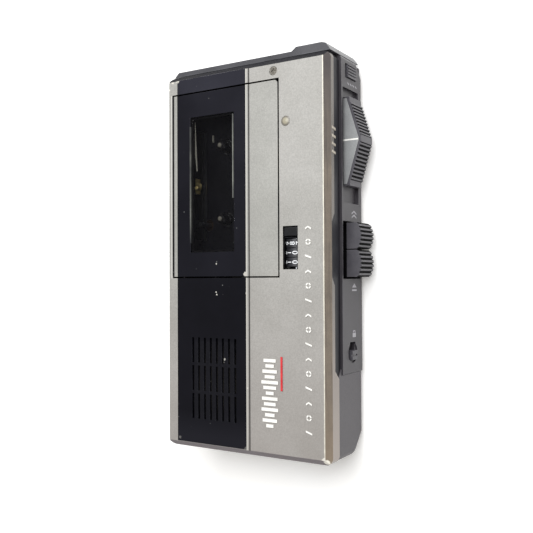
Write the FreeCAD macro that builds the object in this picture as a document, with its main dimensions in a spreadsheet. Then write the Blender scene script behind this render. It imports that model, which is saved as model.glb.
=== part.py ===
"""Handheld microcassette voice recorder, lying on its back, as separate pieces.

Frame: the origin is the middle of the flat back face. +Z points out of the
front face, +Y towards the microphone end and +X towards the side that carries
the thumb controls. All sizes are in millimetres.
"""

import FreeCAD, Part
import math
import os
import re
import sys

import Sketcher
from FreeCAD import Placement, Rotation, Vector

doc = FreeCAD.newDocument("VoiceRecorder")

# ---------------------------------------------------------------- dimensions

SIZES = {
    # outside of the case
    "half_width": 30.35,
    "back_half_width": 29.9,
    "front_face": 25.0,
    "parting": 18.9,
    "seam": 0.3,
    "bottom_end": -61.2,
    "front_top": 62.2,
    "back_top": 62.7,
    "edge_bevel": 1.7,
    "edge_break": 0.5,
    "corner_round": 2.2,
    "back_bevel": 2.4,
    "shell_wall": 1.5,
    "front_wall": 1.4,
    "back_wall": 1.6,
    # groove round the controls side and the top
    "groove_front": 21.5,
    "groove_back": 16.3,
    "groove_depth": 0.9,
    "groove_tip": -36.1,
    "groove_shoulder": -33.5,
    "scoop_front": 23.2,
    # controls panel
    "panel_end": -35.5,
    "panel_back": 2.4,
    "panel_depth": 2.0,
    "track_low": 17.45,
    "track_high": 53.0,
    "track_back": 4.4,
    "track_front": 15.5,
    "track_depth": 1.2,
    "slot_low": -6.0,
    "slot_high": 11.8,
    "slot_back": 3.3,
    "slot_front": 15.7,
    # top cap
    "cap_front": 22.2,
    "cap_back": 2.6,
    "cap_top": 64.3,
    "cap_half_width": 28.4,
    "cap_left": 29.7,
    "hump_top": 65.5,
    "hump_start": 16.2,
    "mic_x": 19.8,
    "mic_height": 13.0,
    # door and the black panels
    "door_left": -27.93,
    "door_right": 12.79,
    "door_low": -5.03,
    "door_high": 55.49,
    "door_gap": 0.5,
    "door_thick": 2.1,
    "black_left": -26.46,
    "black_right": 1.1,
    "black_low": -59.43,
    "black_high": 60.68,
    "black_thick": 0.8,
    "black_sink": 0.1,
    "bead_width": 1.1,
    "bead_height": 0.25,
    "window_left": -21.07,
    "window_right": -3.62,
    "window_low": 2.91,
    "window_high": 47.63,
    "hinge_line": -3.6,
    "hinge_height": 24.3,
    "hinge_pin": 0.4,
    # speaker
    "grille_left": -20.1,
    "grille_low": -52.0,
    "grille_pitch": 2.39,
    "grille_row": 9.17,
    "slit_width": 0.8,
    "slit_length": 8.2,
    "speaker_x": -11.7,
    "speaker_y": -38.3,
    "speaker_radius": 14.0,
    # counter
    "counter_left": 14.51,
    "counter_right": 19.73,
    "counter_low": -3.05,
    "counter_high": 10.18,
    "counter_x": 17.1,
    "counter_y": 2.05,
    "counter_z": 21.1,
    "wheel_radius": 3.2,
    "wheel_width": 2.7,
    "wheel_pitch": 2.88,
    # small things in the front
    "led_x": 15.64,
    "led_y": 42.34,
    "led_radius": 1.5,
    "screw_x": 11.29,
    "screw_y": 58.39,
    "screw_radius": 1.3,
    # thumb controls
    "switch_low": 22.7,
    "switch_high": 50.2,
    "switch_peak": 35.4,
    "switch_end": 31.6,
    "switch_back": 4.9,
    "switch_front": 13.4,
    "button_back": 3.7,
    "button_front": 12.8,
    "button_peak": 35.2,
    "fast_low": 3.25,
    "fast_high": 11.3,
    "eject_low": -5.4,
    "eject_high": 2.95,
    # tape deck
    "floor_top": 16.0,
    "plate_top": 15.0,
    "plate_thick": 1.0,
    "well_left": -27.1,
    "well_right": 11.8,
    "well_low": -0.8,
    "well_high": 53.8,
    "well_rim": 22.4,
    "well_wall": 0.8,
    "spindle_x": -12.5,
    "spindle_middle": 26.3,
    "spindle_half_gap": 12.2,
    "hub_radius": 2.1,
    "capstan_x": -20.2,
    "capstan_y": 12.5,
    "capstan_radius": 0.75,
    "bush_radius": 1.97,
    "bush_length": 3.0,
    "flywheel_radius": 7.2,
    "pulley_radius": 2.0,
    "motor_x": 20.2,
    "motor_y": 33.0,
    "motor_radius": 7.0,
    "belt_low": 3.6,
    "running_gap": 0.05,
    "volume_x": -23.6,
    "volume_y": 46.0,
    "volume_radius": 7.2,
    # power
    "cell_radius": 7.2,
    "cell_length": 50.3,
    "cell_low": -52.2,
    "cell_height": 10.2,
    "lid_half": 16.5,
    "lid_low": -51.4,
    "lid_high": -1.3,
    # sockets
    "jack_bore": 1.75,
    "jack_sleeve": 2.9,
    "jack_height": 9.0,
}

sheet = doc.addObject("Spreadsheet::Sheet", "Dimensions")
for row, (name, value) in enumerate(SIZES.items(), start=1):
    sheet.set(f"A{row}", name)
    sheet.set(f"B{row}", str(value))
    sheet.setAlias(f"B{row}", name)
doc.recompute()

# ------------------------------------------------------------------- helpers

TURNED_TO = {
    "x": Rotation(Vector(0, 1, 0), 90),
    "y": Rotation(Vector(1, 0, 0), -90),
    "z": Rotation(),
}


def formula(text):
    """Point every spreadsheet name in a formula at its cell."""

    def cell(word):
        return f"Dimensions.{word.group()}" if word.group() in SIZES else word.group()

    return re.sub(r"[a-z_]+", cell, str(text))


def block(label, x, y, z):
    """A block between two formulas along each axis."""
    box = doc.addObject("Part::Box", label)
    for side, axis, (low, high) in (("Length", "x", x), ("Width", "y", y), ("Height", "z", z)):
        box.setExpression(side, formula(f"({high}) - ({low})"))
        box.setExpression(f"Placement.Base.{axis}", formula(low))
    return box


def rod(label, axis, start, radius, length):
    """A cylinder that runs along one axis from its start point."""
    cylinder = doc.addObject("Part::Cylinder", label)
    cylinder.Placement = Placement(Vector(), TURNED_TO[axis])
    for name, value in zip("xyz", start):
        cylinder.setExpression(f"Placement.Base.{name}", formula(value))
    cylinder.setExpression("Radius", formula(radius))
    cylinder.setExpression("Height", formula(length))
    return cylinder


def cone(label, start, low_radius, high_radius, length):
    """A cone along +Z from its start point."""
    body = doc.addObject("Part::Cone", label)
    for name, value in zip("xyz", start):
        body.setExpression(f"Placement.Base.{name}", formula(value))
    body.setExpression("Radius1", formula(low_radius))
    body.setExpression("Radius2", formula(high_radius))
    body.setExpression("Height", formula(length))
    return body


def ball(label, centre, radius):
    """A sphere about its centre."""
    body = doc.addObject("Part::Sphere", label)
    for name, value in zip("xyz", centre):
        body.setExpression(f"Placement.Base.{name}", formula(value))
    body.setExpression("Radius", formula(radius))
    return body


def join(label, *shapes):
    """Touching or overlapping shapes as one solid."""
    union = doc.addObject("Part::MultiFuse", label)
    union.Shapes = list(shapes)
    return union


def group(label, *shapes):
    """Like pieces that don't touch, kept as separate solids under one name."""
    compound = doc.addObject("Part::Compound", label)
    compound.Links = list(shapes)
    return compound


def cut(label, base, *tools):
    """The base with every tool taken out of it."""
    result = doc.addObject("Part::Cut", label)
    result.Base = base
    result.Tool = tools[0] if len(tools) == 1 else join(f"{label}_tools", *tools)
    return result


def overlap(label, first, second):
    """What two shapes have in common."""
    common = doc.addObject("Part::Common", label)
    common.Base = first
    common.Tool = second
    return common


def part_body(label):
    """An empty body for pads and pockets."""
    return doc.addObject("PartDesign::Body", label)


def outline(body, name, plane, corners, start):
    """A closed sketch through corners, each held by two driven distances."""
    sketch = body.newObject("Sketcher::SketchObject", name)
    origin_plane = next(f for f in body.Origin.OriginFeatures if f.Role == plane)
    sketch.AttachmentSupport = [(origin_plane, "")]
    sketch.MapMode = "FlatFace"
    sketch.setExpression("AttachmentOffset.Base.z", formula(start))
    count = len(corners)
    turns = [2 * math.pi * i / count for i in range(count)]
    rough = [Vector(10 * math.cos(turn), 10 * math.sin(turn), 0) for turn in turns]
    for i in range(count):
        sketch.addGeometry(Part.LineSegment(rough[i], rough[(i + 1) % count]))
    for i in range(count):
        sketch.addConstraint(Sketcher.Constraint("Coincident", i, 2, (i + 1) % count, 1))
    for i, corner in enumerate(corners):
        for kind, along, value in zip(("DistanceX", "DistanceY"), rough[i], corner):
            number = sketch.addConstraint(Sketcher.Constraint(kind, -1, 1, i, 1, along))
            sketch.setExpression(f"Constraints[{number}]", formula(value))
    return sketch


def extrusion(kind, body, name, plane, corners, low, high):
    """A Pad or Pocket of an outline between two heights over its plane."""
    start = f"-({high})" if plane == "XZ_Plane" else low
    sketch = outline(body, f"{name}_sketch", plane, corners, start)
    feature = body.newObject(f"PartDesign::{kind}", name)
    feature.Profile = sketch
    feature.setExpression("Length", formula(f"({high}) - ({low})"))
    if kind == "Pocket":
        feature.Reversed = True
    return feature


def pad(body, name, plane, corners, low, high):
    """Add an outline pushed out between two heights."""
    return extrusion("Pad", body, name, plane, corners, low, high)


def pocket(body, name, plane, corners, low, high):
    """Take out an outline between two heights."""
    return extrusion("Pocket", body, name, plane, corners, low, high)


def prism(label, plane, corners, low, high):
    """A sub-part that is one padded outline."""
    body = part_body(label)
    pad(body, f"{label}_pad", plane, corners, low, high)
    return body


def dress(body, kind, name, base, picks, size, value):
    """A fillet or chamfer on the base's edges that picks accepts."""
    doc.recompute()
    feature = body.newObject(f"PartDesign::{kind}", name)
    edges = [f"Edge{i}" for i, e in enumerate(base.Shape.Edges, start=1) if picks(e.BoundBox)]
    feature.Base = (base, edges)
    feature.setExpression(size, formula(value))
    return feature


def rectangle(x_low, x_high, y_low, y_high):
    """The corners of a rectangle in its sketch plane."""
    return [(x_low, y_low), (x_high, y_low), (x_high, y_high), (x_low, y_high)]


nodes = {}


def keep(piece):
    """Mark a finished sub-part: its label is the name of its file."""
    nodes[piece.Label] = piece
    return piece


# --------------------------------------------------- front shell (silver ABS)

GROOVE_CUT = [
    ("groove_tip", "parting"),
    ("groove_shoulder", "groove_front"),
    ("slot_low - 2", "groove_front"),
    ("slot_low + 0.6", "scoop_front"),
    ("slot_high - 0.8", "scoop_front"),
    ("slot_high + 1.8", "groove_front"),
    ("front_top + 1", "groove_front"),
    ("front_top + 1", "parting"),
]

front = part_body("front_shell_moulding")
outer = pad(
    front, "front_outer", "XY_Plane",
    rectangle("-half_width", "half_width", "bottom_end", "front_top"), "parting", "front_face",
)
corners = dress(
    front, "Fillet", "front_corners", outer,
    lambda b: b.ZLength > 6 and b.XLength < 0.01, "Radius", "corner_round",
)
dress(
    front, "Chamfer", "front_edge_break", corners,
    lambda b: b.ZMin > 24.9, "Size", "edge_break",
)
# the wide bevel runs down the controls side and across both ends, but not down the door side
BEVELS = {
    "right_bevel": (
        "XZ_Plane", ("half_width - edge_bevel - 1", "half_width + 1"),
        "bottom_end - 1", "front_top + 1",
    ),
    "top_bevel": (
        "YZ_Plane", ("front_top - edge_bevel - 1", "front_top + 1"),
        "-half_width - 1", "half_width + 1",
    ),
    "bottom_bevel": (
        "YZ_Plane", ("bottom_end + edge_bevel + 1", "bottom_end - 1"),
        "-half_width - 1", "half_width + 1",
    ),
}
for name, (plane, (inner, outer_side), low, high) in BEVELS.items():
    pocket(
        front, name, plane,
        [
            (inner, "front_face + 1"), (outer_side, "front_face - edge_bevel - 1"),
            (outer_side, "front_face + 1"),
        ],
        low, high,
    )
pocket(
    front, "front_hollow", "XY_Plane",
    rectangle(
        "-half_width + shell_wall", "half_width - shell_wall",
        "bottom_end + shell_wall", "front_top - shell_wall",
    ),
    "parting", "front_face - front_wall",
)
pocket(
    front, "door_opening", "XY_Plane",
    rectangle(
        "door_left - door_gap", "door_right + door_gap",
        "door_low - door_gap", "door_high + door_gap",
    ),
    "parting", "front_face",
)
pocket(
    front, "side_groove", "YZ_Plane", GROOVE_CUT,
    "half_width - shell_wall", "half_width + 1",
)
pocket(
    front, "top_groove", "XZ_Plane",
    rectangle("-half_width - 1", "half_width + 1", "parting", "groove_front"),
    "front_top - shell_wall", "front_top + 1",
)
for name, low, high in (
    ("top_strip_seat", "door_high + door_gap", "black_high"),
    ("speaker_panel_seat", "black_low", "door_low - door_gap"),
):
    pocket(
        front, name, "XY_Plane", rectangle("black_left", "black_right", low, high),
        "front_face - black_sink - black_thick", "front_face",
    )
pocket(
    front, "speaker_opening", "XY_Plane",
    rectangle(
        "grille_left - 1", "grille_left + 7 * grille_pitch + 1",
        "grille_low - 1", "grille_low + 3 * grille_row + 1",
    ),
    "front_face - front_wall", "front_face",
)
pocket(
    front, "counter_opening", "XY_Plane",
    rectangle("counter_left", "counter_right", "counter_low", "counter_high"),
    "front_face - front_wall", "front_face",
)
doc.recompute()
led_hole = rod(
    "led_hole", "z", ("led_x", "led_y", "parting"), "led_radius + 0.05", "front_face"
)
screw_hole = rod(
    "screw_hole", "z", ("screw_x", "screw_y", "front_face - 0.9"), "screw_radius + 0.1", 2
)
screw_bore = rod("screw_bore", "z", ("screw_x", "screw_y", "parting"), 0.7, "front_wall + 6")
pin_bore = rod(
    "pin_bore", "x", ("door_left - door_gap - 0.38", "hinge_line", "hinge_height"),
    "hinge_pin + running_gap", "door_right - door_left + 2 * door_gap + 1.2",
)
bead = block(
    "bead_low", ("black_right", "black_right + bead_width"),
    ("bottom_end + edge_bevel", "door_low - door_gap"),
    ("front_face - 0.5", "front_face + bead_height"),
)
bead_top = block(
    "bead_high", ("black_right", "black_right + bead_width"),
    ("door_high + door_gap", "front_top - edge_bevel"),
    ("front_face - 0.5", "front_face + bead_height"),
)
front_solid = join("front_shell_solid", front, bead, bead_top)
keep(cut("front_shell", front_solid, led_hole, screw_hole, screw_bore, pin_bore))

keep(block(
    "top_strip", ("black_left", "black_right"), ("door_high + door_gap", "black_high"),
    ("front_face - black_sink - black_thick", "front_face - black_sink"),
))

# ----------------------------------------------- speaker panel with its slits

slits = [
    block(
        f"slit_{column}_{row}",
        (
            f"grille_left + {column} * grille_pitch - slit_width / 2",
            f"grille_left + {column} * grille_pitch + slit_width / 2",
        ),
        (
            f"grille_low + {row} * grille_row + (grille_row - slit_length) / 2",
            f"grille_low + {row} * grille_row + (grille_row + slit_length) / 2",
        ),
        ("front_face - 2", "front_face"),
    )
    for column in range(8)
    for row in range(3)
]
panel_plate = block(
    "speaker_panel_plate", ("black_left", "black_right"),
    ("black_low", "door_low - door_gap"),
    ("front_face - black_sink - black_thick", "front_face - black_sink"),
)
keep(cut("speaker_panel", panel_plate, *slits))

# ---------------------------------------------------- back shell (grey ABS)

BACK_PROFILE = [
    ("bottom_end + 0.2", "parting - seam"),
    ("bottom_end", 13.4),
    ("bottom_end + 0.7", 8.1),
    (-54.96, 3.0),
    (-51.6, 0),
    ("back_top - 3.2", 0),
    ("back_top - 1", 1.9),
    ("back_top", 5),
    ("back_top", "parting - seam"),
]
BACK_HOLLOW = [
    ("bottom_end + 1.7", "parting"),
    ("bottom_end + 1.6", 13.4),
    ("bottom_end + 2.2", 8.9),
    (-54.2, 4.6),
    (-50.9, "back_wall"),
    ("back_top - 3.8", "back_wall"),
    ("back_top - 2.2", 2.8),
    ("back_top - 1.6", 5.2),
    ("back_top - 1.6", "parting"),
]
PANEL_CUT = [
    ("panel_end", "panel_back"),
    ("panel_end", "groove_back"),
    ("groove_shoulder", "groove_back"),
    ("groove_tip", "parting"),
    ("back_top + 1", "parting"),
    ("back_top + 1", "panel_back"),
]

back = part_body("back_shell_moulding")
tray = pad(
    back, "back_outer", "YZ_Plane", BACK_PROFILE, "-back_half_width", "back_half_width"
)
dress(
    back, "Chamfer", "back_long_bevels", tray,
    lambda b: b.ZMax < 0.1 and b.YLength > 90, "Size", "back_bevel",
)
pocket(
    back, "back_hollow", "YZ_Plane", BACK_HOLLOW,
    "-back_half_width + back_wall", "back_half_width - back_wall",
)
pocket(
    back, "panel_opening", "YZ_Plane", PANEL_CUT,
    "back_half_width - back_wall - 0.1", "half_width + 1",
)
pocket(
    back, "lid_opening", "XY_Plane",
    rectangle("-lid_half - 0.2", "lid_half + 0.2", "lid_low - 4", "lid_high + 0.3"),
    -1, 0.8,
)
pocket(
    back, "lid_tongue_opening", "XY_Plane",
    rectangle("-lid_half - 1.2", "lid_half + 1.2", "lid_low - 4", "lid_high + 0.3"),
    0.8, "back_wall + 0.01",
)
doc.recompute()

plan = part_body("back_plan")
plan_pad = pad(
    plan, "back_plan_pad", "XY_Plane",
    rectangle("-back_half_width", "back_half_width", "bottom_end", "back_top"), -1, "parting",
)
dress(
    plan, "Fillet", "back_plan_corners", plan_pad,
    lambda b: b.ZLength > 6 and b.XLength < 0.01, "Radius", "corner_round",
)

BACK_SCREWS = [(-25.3, 57.2), (25.3, 57.2), (-25.3, -46.5), (25.3, -46.5)]
pillars = [
    rod(f"pillar_{i}", "z", (x, y, "back_wall"), 2.3, "parting - seam - back_wall")
    for i, (x, y) in enumerate(BACK_SCREWS)
]
head_seats = [
    rod(f"head_seat_{i}", "z", (x, y, -1), 1.75, 2.1) for i, (x, y) in enumerate(BACK_SCREWS)
]
shank_bores = [
    rod(f"shank_bore_{i}", "z", (x, y, 0), 0.9, "parting") for i, (x, y) in enumerate(BACK_SCREWS)
]
EARPHONE_X = -12.0
MICROPHONE_JACK_X = 1.0
jack_holes = [
    rod(f"jack_hole_{i}", "y", (x, "back_top - 4", "jack_height"), "jack_sleeve + 0.05", 8)
    for i, x in enumerate((EARPHONE_X, MICROPHONE_JACK_X))
]
mic_hole = rod("mic_hole", "y", ("mic_x", "back_top - 4", "mic_height"), 3.05, 8)
volume_slot = block(
    "volume_slot", ("-half_width - 1", "-back_half_width + back_wall + 0.2"),
    ("volume_y - 6.2", "volume_y + 6.2"), (5.7, 8.7),
)
back_solid = overlap("back_shell_solid", join("back_with_pillars", back, *pillars), plan)
keep(cut(
    "back_shell", back_solid, *head_seats, *shank_bores, *jack_holes, mic_hole, volume_slot
))

screws = []
for i, (x, y) in enumerate(BACK_SCREWS):
    head = rod(f"rear_head_{i}", "z", (x, y, 0.25), 1.65, 0.85)
    shank = rod(f"rear_shank_{i}", "z", (x, y, 0.5), 0.8, 16)
    cross = block(f"rear_cross_{i}", (x - 1.1, x + 1.1), (y - 0.22, y + 0.22), (0, 0.7))
    other = block(f"rear_cross_turned_{i}", (x - 0.22, x + 0.22), (y - 1.1, y + 1.1), (0, 0.7))
    screws.append(cut(f"rear_screw_{i}", join(f"rear_body_{i}", head, shank), cross, other))
keep(group("rear_screws", *screws))

front_head = rod(
    "front_head", "z", ("screw_x", "screw_y", "front_face - 0.9"), "screw_radius", 0.8
)
front_shank = rod("front_shank", "z", ("screw_x", "screw_y", "parting"), 0.65, 5.5)
front_cross = [
    block("front_cross_a", ("screw_x - 0.9", "screw_x + 0.9"),
          ("screw_y - 0.2", "screw_y + 0.2"), ("front_face - 0.6", "front_face")),
    block("front_cross_b", ("screw_x - 0.2", "screw_x + 0.2"),
          ("screw_y - 0.9", "screw_y + 0.9"), ("front_face - 0.6", "front_face")),
]
keep(cut("front_screw", join("front_screw_body", front_head, front_shank), *front_cross))

# ------------------------------------ black trim at the bottom of the groove

TRIM_SIDE = [
    ("groove_tip", "parting"),
    ("groove_shoulder", "groove_front"),
    ("slot_low - 2", "groove_front"),
    ("slot_low + 0.6", "scoop_front"),
    ("slot_high - 0.8", "scoop_front"),
    ("slot_high + 1.8", "groove_front"),
    ("front_top - groove_depth", "groove_front"),
    ("front_top - groove_depth", "groove_back + 2.4"),
    ("front_top - 1.2", "groove_back"),
    ("groove_shoulder", "groove_back"),
]
trim = part_body("groove_trim")
pad(
    trim, "trim_side", "YZ_Plane", TRIM_SIDE,
    "half_width - panel_depth", "half_width - groove_depth",
)
pad(
    trim, "trim_top", "XZ_Plane",
    rectangle("-half_width + groove_depth", "half_width - groove_depth",
              "parting - seam", "groove_front"),
    "front_top - shell_wall", "front_top - groove_depth",
)
keep(trim)

# ---------------------------------------- controls panel on the right side

panel = part_body("side_panel_moulding")
panel_outer = pad(
    panel, "panel_outer", "YZ_Plane",
    [
        ("panel_end", "panel_back"), ("back_top - 3", "panel_back"), ("back_top", 5.2),
        ("back_top", "groove_back"), ("panel_end", "groove_back"),
    ],
    "half_width - panel_depth", "half_width",
)
rounded_panel = dress(
    panel, "Fillet", "panel_top_corner", panel_outer,
    lambda b: b.YMin > 59 and b.XMin > 30.3 and b.ZLength > 2, "Radius", 1.4,
)
dress(
    panel, "Chamfer", "panel_low_bevel", rounded_panel,
    lambda b: b.YMax < -35 and b.XMin > 30.3, "Size", 0.5,
)
pocket(
    panel, "switch_track", "YZ_Plane",
    rectangle("track_low", "track_high", "track_back", "track_front"),
    "half_width - track_depth", "half_width",
)
pocket(
    panel, "switch_stem_slot", "YZ_Plane",
    rectangle("track_low + 6", "track_high - 6", 7.5, 11.5),
    "half_width - panel_depth", "half_width",
)
pocket(
    panel, "button_slot", "YZ_Plane",
    rectangle("slot_low", "slot_high", "slot_back", "slot_front"),
    "half_width - panel_depth", "half_width",
)
pocket(
    panel, "top_slide_seat", "YZ_Plane", rectangle(56.2, 60.7, 6.2, 13.6),
    "half_width - track_depth", "half_width",
)
pocket(
    panel, "top_slide_slot", "YZ_Plane", rectangle(57.5, 59.4, 7.4, 12.4),
    "half_width - panel_depth", "half_width",
)
pocket(
    panel, "lock_slot", "YZ_Plane", rectangle(-31.4, -25.6, 7.3, 11.3),
    "half_width - panel_depth", "half_width",
)
doc.recompute()
lock_dish = rod("lock_dish", "x", ("half_width - 0.45", -28.9, 9.3), 3.2, 2)
keep(cut("side_panel", panel, lock_dish))

# ------------------------------------------------ top cap with its mic hump

cap = part_body("top_cap_moulding")
pad(
    cap, "cap_outer", "XY_Plane",
    [
        ("-cap_left", "back_top"), ("cap_half_width + 1.3", "back_top"),
        ("cap_half_width + 0.7", "back_top + 1.0"),
        ("cap_half_width - 0.4", "hump_top - 0.4"), ("cap_half_width - 1.8", "hump_top"),
        ("hump_start + 1.6", "hump_top"), ("hump_start", "cap_top"),
        ("-cap_left + 1.7", "cap_top"),
    ],
    "cap_back", "cap_front",
)
doc.recompute()
mic_slits = [
    block(
        f"mic_slit_{i}", (f"mic_x - 2.5 + 2 * {i}", f"mic_x - 1.5 + 2 * {i}"),
        ("back_top - 1", "hump_top + 1"), ("mic_height - 2", "mic_height + 2"),
    )
    for i in range(3)
]
cap_jacks = [
    rod(f"cap_jack_hole_{i}", "y", (x, "back_top - 1", "jack_height"), "jack_sleeve + 0.05", 8)
    for i, x in enumerate((EARPHONE_X, MICROPHONE_JACK_X))
]
keep(cut("top_cap", cap, *mic_slits, *cap_jacks))
keep(rod("microphone", "y", ("mic_x", "back_top - 4.6", "mic_height"), 3.0, 4.5))

# ------------------------------------------------------------------ LED lens

led_stem = rod("led_stem", "z", ("led_x", "led_y", "front_face - 3"), "led_radius", 3)
led_dome = overlap(
    "led_dome", ball("led_ball", ("led_x", "led_y", "front_face - 2.25"), 2.7),
    rod("led_reach", "z", ("led_x", "led_y", "front_face - 1"), "led_radius", 2),
)
keep(join("led_lens", led_stem, led_dome))

# ------------------------------------------------------------- tape counter

frame_box = block(
    "counter_frame_box", ("counter_x - 3.5", "counter_x + 3.5"), (-3.9, 10.6), (17.0, 23.6)
)
wheel_room = block(
    "wheel_room", ("counter_x - 3.8", "counter_x + 3.8"), (-2.9, 6.6), (17.6, 24)
)
button_room = block(
    "button_room", ("counter_left - 0.05", "counter_right + 0.05"), (6.9, 10), (17.6, 24)
)
shaft_room = rod("shaft_room", "y", ("counter_x", -3.5, "counter_z"), 0.7, 10.5)
keep(cut("counter_frame", frame_box, wheel_room, button_room, shaft_room))
keep(rod("counter_shaft", "y", ("counter_x", -3.5, "counter_z"), 0.7, 10.4))
for i, name in enumerate(("units", "tens", "hundreds")):
    place = f"counter_y + ({1 - i}) * wheel_pitch - wheel_width / 2"
    wheel = rod(f"{name}_blank", "y", ("counter_x", place, "counter_z"),
                "wheel_radius", "wheel_width")
    eye = rod(f"{name}_eye", "y", ("counter_x", f"{place} - 1", "counter_z"),
              "0.7 + running_gap", "wheel_width + 2")
    keep(cut(f"counter_wheel_{name}", wheel, eye))
keep(block(
    "counter_reset_button", ("counter_left + 0.3", "counter_right - 0.3"), (7.1, 9.85),
    (20.2, "front_face - 0.1"),
))

# --------------------------------------------------------------- tape door

door = part_body("door_moulding")
door_outer = pad(
    door, "door_outer", "XY_Plane",
    rectangle("door_left", "door_right", "door_low", "door_high"),
    "front_face - door_thick", "front_face",
)
dress(
    door, "Fillet", "door_corners", door_outer,
    lambda b: b.ZLength > 2 and b.XMin > 12 and b.YMin > 50, "Radius", 1.2,
)
pocket(
    door, "door_plate_seat", "XY_Plane",
    rectangle("black_left", "black_right", "door_low - 1", "door_high + 1"),
    "front_face - black_sink - black_thick", "front_face",
)
pocket(
    door, "door_window_opening", "XY_Plane",
    rectangle("window_left + 0.6", "window_right - 0.6", "window_low + 0.6",
              "window_high - 0.6"),
    "front_face - door_thick", "front_face",
)
doc.recompute()
door_bead = block(
    "door_bead", ("black_right", "black_right + bead_width"), ("door_low", "door_high"),
    ("front_face - 0.5", "front_face + bead_height"),
)
pin_hole = rod(
    "door_pin_hole", "x", ("door_left - 1", "hinge_line", "hinge_height"),
    "hinge_pin", "black_left - door_left + 0.9",
)
pin_hole_right = rod(
    "door_pin_hole_right", "x", ("door_right - 3", "hinge_line", "hinge_height"),
    "hinge_pin", 4,
)
keep(cut("door_frame", join("door_solid", door, door_bead), pin_hole, pin_hole_right))

plate = block(
    "door_plate_blank", ("black_left", "black_right"), ("door_low", "door_high"),
    ("front_face - black_sink - black_thick", "front_face - black_sink"),
)
plate_window = block(
    "plate_window", ("window_left", "window_right"), ("window_low", "window_high"),
    ("front_face - 2", "front_face"),
)
keep(cut("door_plate", plate, plate_window))
pane = block(
    "pane", ("window_left + 0.05", "window_right - 0.05"),
    ("window_low + 0.05", "window_high - 0.05"),
    ("front_face - black_sink - black_thick", "front_face - black_sink - 0.1"),
)
pane_back = block(
    "pane_back", ("window_left + 0.65", "window_right - 0.65"),
    ("window_low + 0.65", "window_high - 0.65"),
    ("front_face - 1.4", "front_face - black_sink - black_thick"),
)
keep(join("door_window", pane, pane_back))
keep(group(
    "door_hinge_pins",
    rod(
        "left_pin", "x", ("door_left - 0.8", "hinge_line", "hinge_height"),
        "hinge_pin", "black_left - door_left + 0.7",
    ),
    rod("right_pin", "x", ("door_right - 3", "hinge_line", "hinge_height"), "hinge_pin", 3.8),
))

holder_sill = block("holder_sill", (-23.6, 11.5), (0, 0.8), (16.6, 22.9))
holder_lip = block("holder_lip", (-19, 11.5), (0, 4.2), (16.6, 17.1))
holder_right = block("holder_right", (10.7, 11.5), (0, 24), (16.6, 22.9))
holder_left = block("holder_left", (-23.6, -22.8), (0, 7.4), (16.6, 22.9))
holder_catch = block("holder_catch", (-10, -4), (54.5, 55.4), (21.2, 22.9))
holder_bridge = block("holder_bridge", (-10, -4), (52.5, 55.4), (22.5, 22.9))
keep(group(
    "cassette_holder",
    join("holder_pocket", holder_sill, holder_lip, holder_right, holder_left),
    join("holder_hook", holder_catch, holder_bridge),
))

# --------------------------------------------- cassette well and deck plate

well_floor = block(
    "well_floor", ("well_left - well_wall", "well_right + well_wall"),
    ("well_low - well_wall", "well_high"), ("plate_top", "floor_top"),
)
well_walls = [
    block("well_wall_left", ("well_left - well_wall", "well_left"),
          ("well_low - well_wall", "well_high"), ("plate_top", "well_rim")),
    block("well_wall_right", ("well_right", "well_right + well_wall"),
          ("well_low - well_wall", "well_high"), ("plate_top", "well_rim")),
    block("well_wall_low", ("well_left - well_wall", "well_right + well_wall"),
          ("well_low - well_wall", "well_low"), ("plate_top", "floor_top + 2")),
    block("well_wall_high", ("well_left - well_wall", "well_right + well_wall"),
          ("well_high - 0.2", "well_high + 0.6"), ("plate_top", "well_rim")),
]
SPINDLES = {
    "takeup": "spindle_middle + spindle_half_gap",
    "supply": "spindle_middle - spindle_half_gap",
}
spindle_holes = [
    rod(f"{name}_hole", "z", ("spindle_x", y, 10), "hub_radius + 0.4", 9)
    for name, y in SPINDLES.items()
]
capstan_hole = rod("capstan_hole", "z", ("capstan_x", "capstan_y", 10), 2.2, 9)
bridge_slot = block(
    "bridge_slot", ("well_left - 0.1", -20.9), (7.2, 44.8), ("plate_top - 2", "floor_top + 1")
)
keep(cut(
    "cassette_well", join("well_solid", well_floor, *well_walls),
    *spindle_holes, capstan_hole, bridge_slot,
))

deck_blank = block(
    "deck_blank", ("well_left - well_wall", 28.1), (-1.6, 53.5),
    ("plate_top - plate_thick", "plate_top"),
)
motor_hole = rod("motor_clear", "z", ("motor_x", "motor_y", 10), "motor_radius + 0.4", 9)
axle_holes = [
    rod(f"{name}_axle_hole", "z", ("spindle_x", y, 10), "1.2 + running_gap", 9)
    for name, y in SPINDLES.items()
]
bush_hole = rod("bush_hole", "z", ("capstan_x", "capstan_y", 10), "bush_radius + 0.03", 9)
keep(cut("deck_plate", deck_blank, motor_hole, *axle_holes, bush_hole))

bush = rod(
    "bush_blank", "z", ("capstan_x", "capstan_y", "plate_top - bush_length"),
    "bush_radius", "bush_length",
)
bush_eye = rod(
    "bush_eye", "z", ("capstan_x", "capstan_y", 9), "capstan_radius + running_gap", 9
)
keep(cut("capstan_bush", bush, bush_eye))

# --------------------------------------------------- spindles that turn reels

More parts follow.
